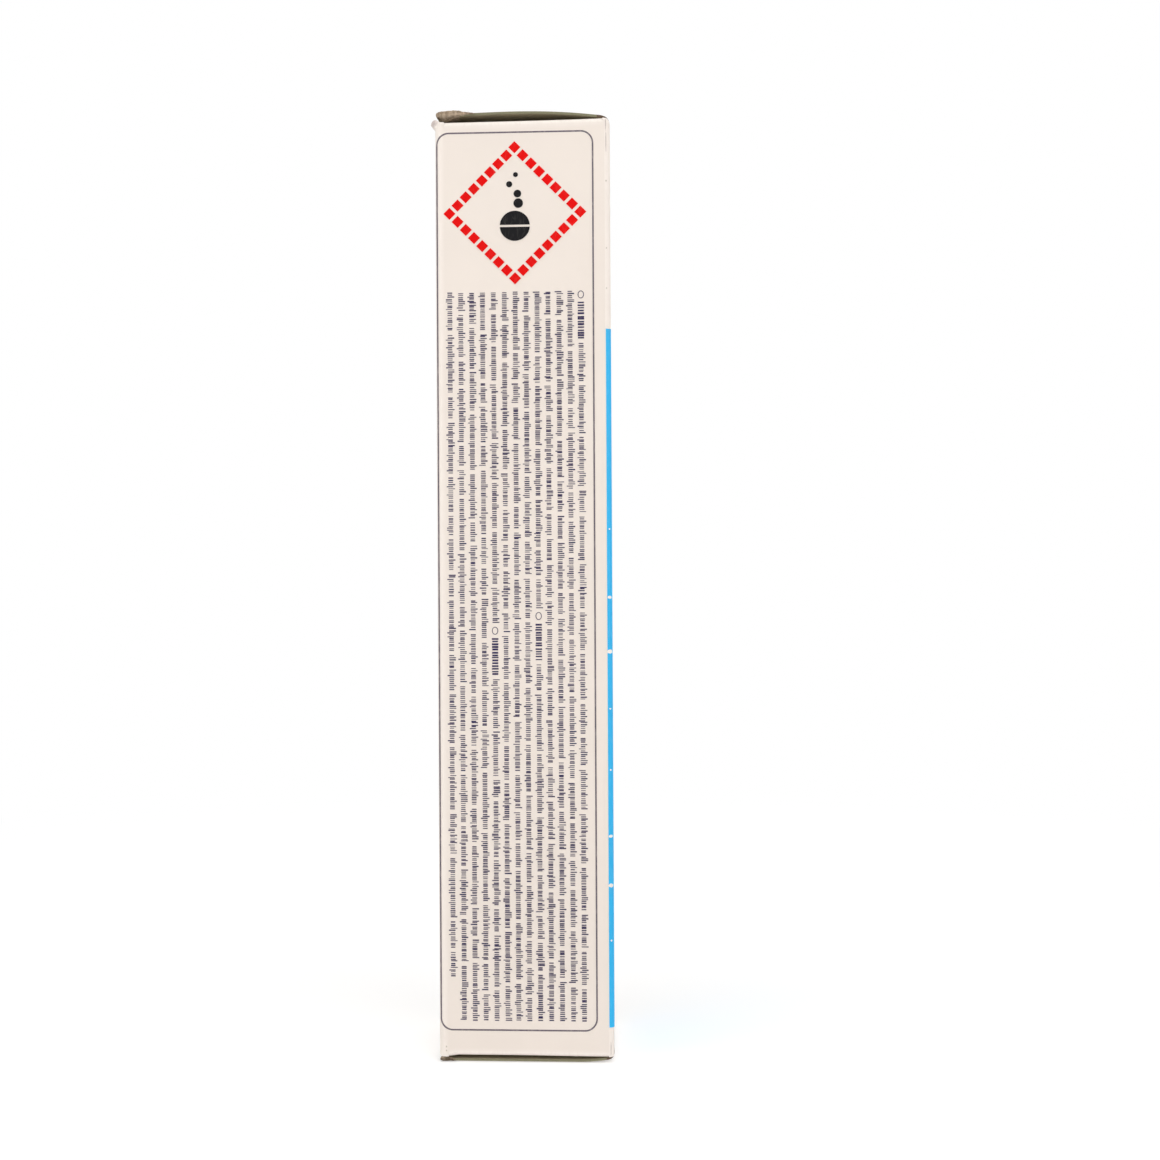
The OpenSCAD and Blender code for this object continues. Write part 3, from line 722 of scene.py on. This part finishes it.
def lid_side_view(start, bow, crown, tuck_rise, spring):
    """Rows of (outer u, outer v, inner u, inner v, half width) from the hinge to the flap's tip."""
    flat, small_r, rows = TUCK_R - TUCK_FOLD_R, TUCK_FOLD_R - BOARD, []
    for u in spread(start, flat, 30):
        if u < crown:
            rise = bow * math.sin(math.pi / 2 * u / crown)
        else:
            rise = bow - (bow - tuck_rise) * ((u - crown) / (flat - crown)) ** 2
        v = rise + spring * (1 - smooth((u - 3) / 21))
        rows.append((u, v + BOARD, u, v, LID_HALF))
    fold_v = tuck_rise - small_r
    for c, s in (turned(angle) for angle in spread(80, 0, 8)):
        outer_uv = flat + TUCK_FOLD_R * c, fold_v + TUCK_FOLD_R * s
        rows.append((*outer_uv, flat + small_r * c, fold_v + small_r * s, LID_HALF))
    turn = math.asin(TUCK_DEPTH / TUCK_R)
    for share in [0.0, 0.002] + spread(0.06, 1, 16):
        c, s = math.cos(turn * share), math.sin(turn * share)
        corner = max(0.0, TUCK_CORNER - (1 - share) * TUCK_DEPTH)
        inset = TUCK_CORNER - math.sqrt(max(0.0, TUCK_CORNER ** 2 - corner ** 2))
        half = LID_HALF if share == 0.0 else TUCK_HALF - inset
        rows.append((TUCK_R * c, -TUCK_R * s, (TUCK_R - BOARD) * c, -(TUCK_R - BOARD) * s, half))
    return rows


def lid_sheet(rows, end, ripple):
    """Lays the side view out across the carton's depth, at the top (end 1) or the bottom (-1)."""
    crease = TOP if end > 0 else BOTTOM
    outer, inner, wear_and_highlight = [], [], []
    for share in spread(-1, 1, 24):
        columns = [], []
        for row in rows:
            y = share * row[4]
            lift = ripple * noise.noise(Vector((row[0] / 9, y / 9, end * 3.0))) * smooth((row[0] - 3) / 5)
            lift *= smooth((TUCK_R - 0.6 - row[0]) / 2)
            for column, u, v in ((columns[0], row[0], row[1]), (columns[1], row[2], row[3])):
                column.append((HALF - u, y, crease + end * (v + lift)))
        outer.append(columns[0])
        inner.append(columns[1])
        side_wear = 0.3 * smooth((abs(share) - 0.96) / 0.04)
        wear_and_highlight.append([EDGE_WEAR_AND_HIGHLIGHT * math.exp(-((row[0] - TUCK_R) ** 2) / 0.8) + side_wear for row in rows])
    sheets = Sheets()
    sheets.add(outer, inner, wear_and_highlight)
    return sheets


# %% [markdown]
# ## The crushed corner
# Pushing the lid in has crushed its near corner. The plies have come apart and stand up in a
# lump, which shows its torn face to the front. We draw the lump's outline as seen from the
# front, shrink it in rings towards its middle, and let the rings rise and fall like the plies.
# Behind its face, the lump narrows into the lid. The bottom lid's near corner is blunted in the
# same way, but less.

# %% The lumps of split plies
LUMP = [(-17.3, 189.45), (-17.1, 189.98), (-16.5, 190.18), (-15.6, 190.26), (-14.7, 190.36),
        (-13.8, 190.42), (-13.0, 190.36), (-12.1, 190.16), (-11.0, 189.96), (-9.6, 189.76),
        (-9.5, 189.68), (-10.3, 189.56), (-11.4, 189.44), (-12.4, 189.3), (-13.3, 189.1),
        (-14.0, 188.8), (-14.7, 188.35), (-15.4, 188.1), (-16.1, 188.12), (-16.7, 188.5),
        (-17.1, 188.95)]
BLUNT = [(-17.4, 0.42), (-17.3, 0.15), (-16.8, 0.04), (-16.0, 0.03), (-15.0, 0.06), (-14.2, 0.12),
         (-14.5, 0.3), (-15.2, 0.56), (-16.0, 0.7), (-16.8, 0.76), (-17.25, 0.66)]
EDGE_Y, FACE_Y, PLY_RELIEF = -17.12, -17.3, 0.17
FACE_INSETS = (0.1, 0.22, 0.34, 0.46, 0.58, 0.7, 0.82, 0.93)
LUMP_SEED = 3


def lump_mesh(corners, left, right, height, slope, depth, floor_z, ceiling_z):
    """A lump round a spine from left to right at a height, which reaches back by a depth."""
    outline = spline(corners[-1:] + corners + corners[:2], 3)
    spine = [Vector((max(left, min(right, p.x)), height + slope * (p.x - left))) for p in outline]
    layers = []
    for back in spread(1.0, 0.0, 6):
        layers.append((0.8 * back ** 1.4, EDGE_Y + depth * back, 0.05 + 0.05 * math.sin(math.pi * back)))
    for k, inset in enumerate(FACE_INSETS):
        layers.append((inset, FACE_Y - (0.0 if k % 2 else PLY_RELIEF), 0.06))
    points, count = [], len(outline)
    for number, (shrink, y, rough) in enumerate(layers):
        for at in (p.lerp(q, shrink) for p, q in zip(outline, spine)):
            seed = Vector((at.x * 1.7, y * 1.3, at.y * 1.7 + number * 0.15))
            shove = noise.noise_vector(seed * 1.9) * rough * 1.6
            z = min(ceiling_z, max(floor_z, at.y + shove.z))
            points.append((at.x + shove.x, min(depth + EDGE_Y, max(-HALF, y + 1.4 * shove.y)), z))
    faces = []
    for start in range(0, len(points) - count, count):
        for k in range(count):
            k2 = (k + 1) % count
            faces.append((start + k, start + k2, start + count + k2, start + count + k))
    faces += [tuple(range(count)), tuple(range(len(points) - count, len(points)))]
    return points, faces


noise.seed_set(LUMP_SEED)  # without a seed of its own, noise_vector differs from run to run
lump_points, lump_faces = lump_mesh(LUMP, -16.6, -11.2, 189.07, 0.07, 5.2, 188.05, 190.34)
blunt_points, blunt_faces = lump_mesh(BLUNT, -16.9, -15.0, 0.38, -0.03, 1.4, 0.02, 0.8)
print("the crushed corners have", len(lump_faces), "and", len(blunt_faces), "faces")

# %% Make the lids
top_rows = lid_side_view(TOP_START, TOP_BOW, TOP_CROWN, TOP_TUCK, TOP_SPRING)
bottom_rows = lid_side_view(BOTTOM_START, BOTTOM_BOW, BOTTOM_CROWN, BOTTOM_BOW, 0.0)
top_sheets, bottom_sheets = lid_sheet(top_rows, 1, LID_RIPPLE), lid_sheet(bottom_rows, -1, 0.0)
top_sheets.add_torn(lump_points, lump_faces, 189.6)
bottom_sheets.add_torn(blunt_points, blunt_faces, 0.9)
lid_top = top_sheets.piece("lid_top", board_finishes + [torn_board])
lid_bottom = bottom_sheets.piece("lid_bottom", board_finishes + [torn_board])
for lid, body in ((lid_top, "top_lid"), (lid_bottom, "bottom_lid")):
    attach(lid, body)
    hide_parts(body)

# %% [markdown]
# ## Crease strips
# A lid hangs on the panel by a crease, which is the same board. A strip of it reaches from the
# wall round to the lid. It is attached to neither body.

# %% The two crease strips
TOP_BEND = [(0.0, -TOP_TRIM), (0.07, -0.7), (0.3, -0.12), (0.7, 0.36), (1.5, 0.7)]
BOTTOM_BEND = [(0.0, -BOTTOM_TRIM), (0.02, -0.5), (0.2, 0.05), (0.6, 0.42), (1.1, 0.58)]


def crease_strip(name, bend, first_row, end):
    crease, wall_half = (TOP if end > 0 else BOTTOM), HALF - FOLD_R - SLIT
    points = [Vector(p) for p in bend + [first_row[0:2]]]
    line = spline([points[0] * 2 - points[1]] + points + [points[-1] * 2 - points[-2]], 4) + [points[-1]]
    inside = []
    for p, ahead, behind in zip(line, line[1:] + line[-1:], line[:1] + line[:-1]):
        along = (ahead - behind).normalized()
        inside.append(p + Vector((along.y, -along.x)) * BOARD)
    inside[0] = line[0] + Vector((BOARD, 0))
    inside[-1] = Vector(first_row[2:4])
    shares = spread(0, 1, len(line) - 1)
    halves = [wall_half + (LID_HALF - wall_half) * smooth(share) for share in shares]
    grids = [], []
    for across in spread(-1, 1, 20):
        for grid, side in zip(grids, (line, inside)):
            grid.append([(HALF - p.x, across * half, crease + end * p.y) for p, half in zip(side, halves)])
    sheets = Sheets()
    sheets.add(*grids, [[EDGE_WEAR_AND_HIGHLIGHT * math.sin(math.pi * share) for share in shares]] * len(grids[0]))
    strip = sheets.piece(name, [coated_board, grey_back, crease_shade_edge])
    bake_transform(strip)
    return strip


crease_top = crease_strip("crease_top", TOP_BEND, top_rows[0], 1)
crease_bottom = crease_strip("crease_bottom", BOTTOM_BEND, bottom_rows[0], -1)

# %% [markdown]
# ## Rows of words
# The small print becomes rows of plain strokes in groups: no letters, only the tone and rhythm
# of print. The CAD model holds one bar for each group, so we read the bars from it. Geometry
# Nodes fill each bar with strokes: they cut the bar's line into even steps, set a stroke on
# each, and let some reach higher or lower. All sizes are inputs of the tree.

# %% Find the bars in the CAD node
BAR_CORNERS, HEADING_WIDTH = 8, 1.2


def islands(mesh):
    """Lists of points in millimetres, one list for each loose part of a mesh."""
    number_of = {}
    index = [number_of.setdefault(tuple(round(v / MM, 3) for v in vertex.co), len(number_of))
             for vertex in mesh.vertices]
    parent = list(range(len(number_of)))

    def find(a):
        while parent[a] != a:
            parent[a] = parent[parent[a]]
            a = parent[a]
        return a

    for polygon in mesh.polygons:
        first, *others = (index[v] for v in polygon.vertices)
        for other in others:
            parent[find(other)] = find(first)
    parts = {}
    for point, number in number_of.items():
        parts.setdefault(find(number), []).append(point)
    return list(parts.values())


bars, headings, dots = [], [], []
for part in islands(nodes["print_word_bars"].data):
    (low_x, high_x), _, (low_z, high_z) = ((min(values), max(values)) for values in zip(*part))
    kind = dots if len(part) > BAR_CORNERS else headings if high_x - low_x > HEADING_WIDTH else bars
    kind.append(((low_x + high_x) / 2, low_z, high_z))
for kind in (bars, headings, dots):
    kind.sort()
print(len(bars), "bars,", len(headings), "headings,", len(dots), "dots")

# %% Geometry Nodes: strokes along a line
def random_value(tree, low, high, seed, shift):
    return add_node(tree, "FunctionNodeRandomValue", {
        2: low, 3: high, "Seed": calc(tree, "ADD", seed, shift)}, data_type="FLOAT").outputs[1]


def end_tree(tree, instances, finish, out):
    """Makes the instances real, gives them their finish, and hands them out."""
    real = add_node(tree, "GeometryNodeRealizeInstances", {0: instances})
    done = add_node(tree, "GeometryNodeSetMaterial", {"Geometry": real.outputs[0], "Material": finish})
    feed(tree, done.outputs[0], out["Geometry"])


def make_stroke_tree():
    tree, given, out = new_group(
        "strokes_along_lines",
        [("Geometry", "Geometry", None), ("Step", "Float", 0.4 * MM), ("Stroke Width", "Float", 0.17 * MM),
         ("Letter Height", "Float", 1.0 * MM), ("Ink Thickness", "Float", INK * MM),
         ("Tall Share", "Float", 0.2), ("Seed", "Int", 1), ("Ink", "Material", None)],
        [("Geometry", "Geometry", None)], "GeometryNodeTree")
    seed, step, height = given["Seed"], given["Step"], given["Letter Height"]
    curve = add_node(tree, "GeometryNodeMeshToCurve", {0: given["Geometry"]})
    steps = add_node(tree, "GeometryNodeResampleCurve", {"Curve": curve.outputs[0], "Length": step},
                     mode="LENGTH")
    luck = random_value(tree, 0.0, 1.0, seed, 1)
    tall = calc(tree, "LESS_THAN", luck, given["Tall Share"])
    low_cut = calc(tree, "SUBTRACT", 1.0, calc(tree, "MULTIPLY", given["Tall Share"], 0.5))
    deep = calc(tree, "GREATER_THAN", luck, low_cut)
    grown = calc(tree, "ADD", calc(tree, "MULTIPLY", tall, 0.4), calc(tree, "MULTIPLY", deep, 0.35))
    lifted = calc(tree, "SUBTRACT", calc(tree, "MULTIPLY", tall, 0.2), calc(tree, "MULTIPLY", deep, 0.18))
    tallness = calc(tree, "ADD", random_value(tree, 0.86, 1.02, seed, 4), grown)
    size = add_node(tree, "ShaderNodeCombineXYZ", {
        "X": calc(tree, "MULTIPLY", height, tallness), "Y": given["Ink Thickness"],
        "Z": calc(tree, "MULTIPLY", given["Stroke Width"], random_value(tree, 0.7, 1.45, seed, 3))})
    shift = add_node(tree, "ShaderNodeCombineXYZ", {
        "X": calc(tree, "MULTIPLY", height, lifted),
        "Z": calc(tree, "MULTIPLY", step, random_value(tree, -0.22, 0.22, seed, 2))})
    place = add_node(tree, "GeometryNodeSetPosition", {
        "Geometry": steps.outputs[0], "Offset": shift.outputs[0]})
    block = add_node(tree, "GeometryNodeMeshCube", {"Size": (1, 1, 1)})
    stamp = add_node(tree, "GeometryNodeInstanceOnPoints", {
        "Points": place.outputs[0], "Instance": block.outputs[0], "Scale": size.outputs[0]})
    end_tree(tree, stamp.outputs[0], given["Ink"], out)
    return tree


stroke_tree = make_stroke_tree()
print("made tree", stroke_tree.name)

# %% Run a tree and keep its result as a plain mesh
BAR_INSET = 0.12


def run_tree(mesh, tree, values):
    holder = new_object(mesh.name, mesh)
    modifier = holder.modifiers.new("nodes", "NODES")
    modifier.node_group = tree
    for item in tree.interface.items_tree:
        if item.in_out == "INPUT" and item.name in values:
            modifier[item.identifier] = values[item.name]
    evaluated = holder.evaluated_get(bpy.context.evaluated_depsgraph_get())
    made = bpy.data.meshes.new_from_object(evaluated)
    holder.modifiers.remove(modifier)
    bpy.data.objects.remove(holder)
    return made


def line_mesh(name, lines, depth):
    """One edge for each (x, lowest z, highest z), at a depth in front of the carton's middle."""
    points = [(x * MM, -depth * MM, z * MM)
              for x, low, high in lines for z in (high - BAR_INSET, low + BAR_INSET)]
    mesh = bpy.data.meshes.new(name)
    mesh.from_pydata(points, [(k, k + 1) for k in range(0, len(points), 2)], [])
    return mesh


def keep_piece(name, meshes, finish):
    """Joins meshes in one piece with one finish."""
    work = bmesh.new()
    for mesh in meshes:
        work.from_mesh(mesh)
    joined = bpy.data.meshes.new(name)
    work.to_mesh(joined)
    work.free()
    joined.materials.append(finish)
    joined.polygons.foreach_set("material_index", [0] * len(joined.polygons))
    print(name, "has", len(joined.polygons), "faces")
    return new_object(name, joined)


# %% [markdown]
# The same tree serves the plain rows and the bold headings: only its inputs differ. The dots
# that open a heading are flat rings, cut from the same layer of ink.

# %% Make the rows of words
PLAIN = {"Step": 0.39 * MM, "Stroke Width": 0.172 * MM, "Letter Height": 0.98 * MM,
         "Tall Share": 0.2, "Seed": 5}
BOLD = {"Step": 0.52 * MM, "Stroke Width": 0.29 * MM, "Letter Height": 1.32 * MM,
        "Tall Share": 0.0, "Seed": 8}
RING_RADIUS_X, RING_RADIUS_Z, RING_LINE, RING_STEPS = 0.62, 0.78, 0.13, 20


def ring_mesh(x, z):
    """A flat oval ring of ink on the printed panel."""
    points, faces = [], []
    for k in range(RING_STEPS):
        c, s = turned(360 * k / RING_STEPS)
        for grow, y in ((0, HALF + INK), (RING_LINE, HALF + INK), (RING_LINE, HALF), (0, HALF)):
            points.append((x + (RING_RADIUS_X - grow) * c, -y, z + (RING_RADIUS_Z - grow) * s))
        ahead = (k + 1) % RING_STEPS
        for a, b in ((0, 1), (1, 2), (2, 3), (3, 0)):
            faces.append((4 * k + a, 4 * k + b, 4 * ahead + b, 4 * ahead + a))
    return solid_mesh("ring", points, faces)


word_meshes = [run_tree(line_mesh(name, lines, HALF + INK / 2), stroke_tree, {**values, "Ink": word_ink})
               for name, lines, values in (("plain_lines", bars, PLAIN), ("bold_lines", headings, BOLD))]
word_meshes += [ring_mesh(x, (low + high) / 2) for x, low, high in dots]
print_words = keep_piece("print_words", word_meshes, word_ink)
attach(print_words, "carton")
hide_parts("print_word_bars")

# %% [markdown]
# ## Loose fibres
# Torn board frays. Short bent fibres grow from the torn face: Geometry Nodes scatter points
# on the faces that look forward, and put a fibre on each with its own turn and length.

# %% Geometry Nodes: fibres on a torn face
FIBRE_MARGIN = 0.02 * MM


def make_fibre_tree():
    tree, given, out = new_group(
        "fibres_on_faces",
        [("Geometry", "Geometry", None), ("Density", "Float", 3.0e6), ("Length", "Float", 0.5 * MM),
         ("Radius", "Float", 0.018 * MM), ("Seed", "Int", 3), ("Fibre", "Material", None)],
        [("Geometry", "Geometry", None)], "GeometryNodeTree")
    normal = add_node(tree, "GeometryNodeInputNormal")
    facing = add_node(tree, "ShaderNodeSeparateXYZ", {0: normal.outputs[0]})
    forward = add_node(tree, "FunctionNodeCompare", {0: facing.outputs["Y"], 1: -0.35},
                       data_type="FLOAT", operation="LESS_THAN")
    scatter = add_node(tree, "GeometryNodeDistributePointsOnFaces", {
        "Mesh": given["Geometry"], "Selection": forward.outputs[0], "Density": given["Density"],
        "Seed": given["Seed"]})
    line = add_node(tree, "GeometryNodeCurveQuadraticBezier", {
        "Resolution": 4, "Start": (0, 0, 0), "Middle": (0.25, 0, 0.5), "End": (0, 0.2, 1.0)})
    extent = add_node(tree, "ShaderNodeCombineXYZ", {axis: given["Length"] for axis in "XYZ"})
    spine = add_node(tree, "GeometryNodeTransform", {"Geometry": line.outputs[0], "Scale": extent.outputs[0]})
    ring = add_node(tree, "GeometryNodeCurvePrimitiveCircle", {"Resolution": 3, "Radius": given["Radius"]})
    tube = add_node(tree, "GeometryNodeCurveToMesh", {
        "Curve": spine.outputs[0], "Profile Curve": ring.outputs[0], "Fill Caps": True})
    stamp = add_node(tree, "GeometryNodeInstanceOnPoints", {
        "Points": scatter.outputs["Points"], "Instance": tube.outputs[0],
        "Rotation": scatter.outputs["Rotation"], "Scale": random_value(tree, 0.4, 1.0, given["Seed"], 7)})
    spin = add_node(tree, "FunctionNodeRandomValue", {
        0: (-0.9, -0.9, -3.1), 1: (0.9, 0.9, 3.1), "Seed": given["Seed"]}, data_type="FLOAT_VECTOR")
    bent = add_node(tree, "GeometryNodeRotateInstances", {
        "Instances": stamp.outputs[0], "Rotation": spin.outputs[0]})
    end_tree(tree, bent.outputs[0], given["Fibre"], out)
    return tree


fibre_tree = make_fibre_tree()
torn_face = solid_mesh("torn_face", lump_points, lump_faces)
fibre_mesh = run_tree(torn_face, fibre_tree, {"Fibre": torn_board, "Seed": 3})
for vertex in fibre_mesh.vertices:
    for axis, (low, high) in enumerate(zip(cad_low, cad_high)):
        vertex.co[axis] = max(low + FIBRE_MARGIN, min(high - FIBRE_MARGIN, vertex.co[axis]))
corner_fibres = keep_piece("corner_fibres", [fibre_mesh], torn_board)
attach(corner_fibres, "top_lid")

# %% [markdown]
# ## Inside the carton
# The tube, the stopper, the drying filling and the tablets keep their CAD shapes. They need
# only finishes: satin moulded plastic, grains of drying agent, grey card and pressed powder
# with darker specks.

# %% Finishes for what the carton holds
def make_plastic(name, colour, roughness):
    finish, tree, shader, place = new_finish(name, colour, roughness, 0.45)
    mottle, fibres = grain_of(tree, place, 30.0, 500.0)
    feed(tree, blend_colours(tree, mottle, darker(colour, 0.96), colour), shader.inputs["Base Color"])
    feed(tree, span(tree, mottle, 0.3, 0.7, roughness - 0.05, roughness + 0.08), shader.inputs["Roughness"])
    bump(tree, shader, fibres, 0.03, 0.2)
    return finish


def make_specked(name, colour, speck_colour, speck_scale, depth):
    finish, tree, shader, place = new_finish(name, colour, 0.85, 0.25)
    voronoi = add_node(tree, "ShaderNodeTexVoronoi", {"Vector": place, "Scale": speck_scale})
    cells = voronoi.outputs["Distance"]
    mottle, fibres = grain_of(tree, place, 200.0, 1200.0)
    few = calc(tree, "GREATER_THAN", mottle, 0.5)
    spots = calc(tree, "MULTIPLY", span(tree, cells, 0.18, 0.3, 1.0, 0.0), few)
    feed(tree, blend_colours(tree, spots, colour, speck_colour), shader.inputs["Base Color"])
    bump(tree, shader, calc(tree, "ADD", cells, fibres), depth, 0.6)
    return finish


inner_finishes = {
    "tube": make_plastic("tube_plastic", paint(236, 238, 240), 0.4),
    "stopper": make_plastic("stopper_plastic", paint(244, 244, 242), 0.36),
    "desiccant": make_specked("drying_grains", paint(205, 200, 190), paint(160, 150, 136), 900.0, 0.3),
    "desiccant_disc": make_specked("grey_card", paint(172, 163, 152), paint(130, 122, 112), 1200.0, 0.05),
}
tablet_powder = make_specked("tablet_powder", paint(196, 226, 232), paint(92, 160, 196), 1100.0, 0.04)
for name, node in nodes.items():
    chosen = tablet_powder if name.startswith("tablet_") else inner_finishes.get(name)
    if chosen:
        dress(node, chosen)
print("finished", len(inner_finishes), "inner pieces and the tablets")

# %% [markdown]
# ## Camera, floor and light
# The picture was taken from the carton's middle height, so the upright lines stay parallel. The
# camera stood in front of the right wall and looked a little to the left, which makes that side
# of the panel slightly taller. It was also rolled by a third of a degree. A small shift brings
# the carton to its place in the frame. The floor and the background are white only to the rays
# that come from the camera, by gloss or through glass. To the object's other light they are
# plain surfaces, so that they don't wash it out.

# %% Camera
DISTANCE, VIEW_WIDTH, EYE_X, EYE_Z, CENTRE_X = 0.35, 0.2314, 0.017, 0.09625, 0.0111
PAN, ROLL, SENSOR = math.radians(3.3), math.radians(0.3), 36
camera_data = bpy.data.cameras.new("camera")
camera_data.sensor_width = SENSOR
camera_data.lens = SENSOR * DISTANCE / VIEW_WIDTH
camera_data.clip_start = 0.01
aside = CENTRE_X - EYE_X
camera_data.shift_x = (camera_data.lens / SENSOR * (aside * math.cos(PAN) + DISTANCE * math.sin(PAN))
                       / (DISTANCE * math.cos(PAN) - aside * math.sin(PAN)))
camera = new_object("camera", camera_data)
eye = Matrix.Translation((EYE_X, -HALF * MM - DISTANCE, EYE_Z))
camera.matrix_world = (eye @ Matrix.Rotation(PAN, 4, "Z") @ Matrix.Rotation(math.radians(90), 4, "X")
                       @ Matrix.Rotation(-ROLL, 4, "Z"))
bpy.context.scene.camera = camera
print("lens", round(camera_data.lens, 1), "mm, shift", round(camera_data.shift_x, 3))

# %% Floor and world
PURE_WHITE, WARM_WHITE, FLOOR_WHITE = (1, 1, 1, 1), (1, 0.985, 0.97, 1), (0.86, 0.86, 0.86, 1)
AMBIENT, FLOOR_GLOW = 0.38, 0.35
FLOOR_SIZE, FLOOR_Z, FADE_START, FADE_END = 3, -0.15 * MM, 0.12, 0.4


def shows_to_camera(tree):
    """1 for the rays that look at the background: from the camera, or by gloss or through glass."""
    rays = add_node(tree, "ShaderNodeLightPath").outputs
    seen = calc(tree, "MAXIMUM", rays["Is Camera Ray"], rays["Is Glossy Ray"])
    return calc(tree, "MAXIMUM", seen, rays["Is Transmission Ray"])


def mix_shaders(tree, share, first, second):
    return add_node(tree, "ShaderNodeMixShader", {0: share, 1: first.outputs[0], 2: second.outputs[0]})


world = bpy.data.worlds.new("studio")
bpy.context.scene.world = world
world.use_nodes = True
world_tree = world.node_tree
world_tree.nodes.clear()
ambient = add_node(world_tree, "ShaderNodeBackground", {"Color": WARM_WHITE, "Strength": AMBIENT})
backdrop = add_node(world_tree, "ShaderNodeBackground", {"Color": PURE_WHITE, "Strength": 1.0})
either = mix_shaders(world_tree, shows_to_camera(world_tree), ambient, backdrop)
add_node(world_tree, "ShaderNodeOutputWorld", {0: either.outputs[0]})

floor_finish, floor_tree, floor_shader, floor_place = new_finish("floor_white", FLOOR_WHITE, 0.9, 0.1)
seen_floor = shows_to_camera(floor_tree)
glow = add_node(floor_tree, "ShaderNodeEmission", {
    "Color": PURE_WHITE, "Strength": calc(floor_tree, "MULTIPLY", seen_floor, FLOOR_GLOW)})
lit = add_node(floor_tree, "ShaderNodeAddShader", {0: floor_shader.outputs[0], 1: glow.outputs[0]})
far_white = add_node(floor_tree, "ShaderNodeEmission", {"Color": PURE_WHITE, "Strength": 1.0})
away = add_node(floor_tree, "ShaderNodeVectorMath", {0: floor_place}, operation="LENGTH").outputs["Value"]
to_white = calc(floor_tree, "MULTIPLY", span(floor_tree, away, FADE_START, FADE_END), seen_floor, clamp=True)
floor_mix = mix_shaders(floor_tree, to_white, lit, far_white)
floor_out = next(n for n in floor_tree.nodes if n.type == "OUTPUT_MATERIAL")
feed(floor_tree, floor_mix.outputs[0], floor_out.inputs["Surface"])
floor_mesh = bpy.data.meshes.new("floor")
floor_corners = [(-1, -1), (1, -1), (1, 1), (-1, 1)]
floor_mesh.from_pydata([(FLOOR_SIZE * x, FLOOR_SIZE * y, FLOOR_Z) for x, y in floor_corners], [],
                       [(0, 1, 2, 3)])
floor_mesh.materials.append(floor_finish)
floor = new_object("floor", floor_mesh)
print("the floor lies at", FLOOR_Z / MM, "mm")

# %% Lamps
AIM = Vector((0, 0, 0.1))


def softbox(name, place, width, height, watts):
    lamp = bpy.data.lights.new(name, "AREA")
    lamp.shape, lamp.size, lamp.size_y, lamp.energy = "RECTANGLE", width, height, watts
    made = new_object(name, lamp)
    made.location = place
    made.rotation_euler = (AIM - Vector(place)).to_track_quat("-Z", "Y").to_euler()


softbox("softbox_left", (-0.9, -0.62, 0.32), 0.7, 0.64, 3.65)
softbox("softbox_right", (0.9, -0.62, 0.32), 0.7, 0.64, 3.65)
softbox("softbox_top", (0, -0.5, 1.05), 0.9, 0.7, 3.8)
softbox("softbox_back", (0.2, 1.0, 0.6), 0.9, 0.7, 3)
bpy.context.scene.view_settings.view_transform = "Standard"
print("lit by four softboxes")
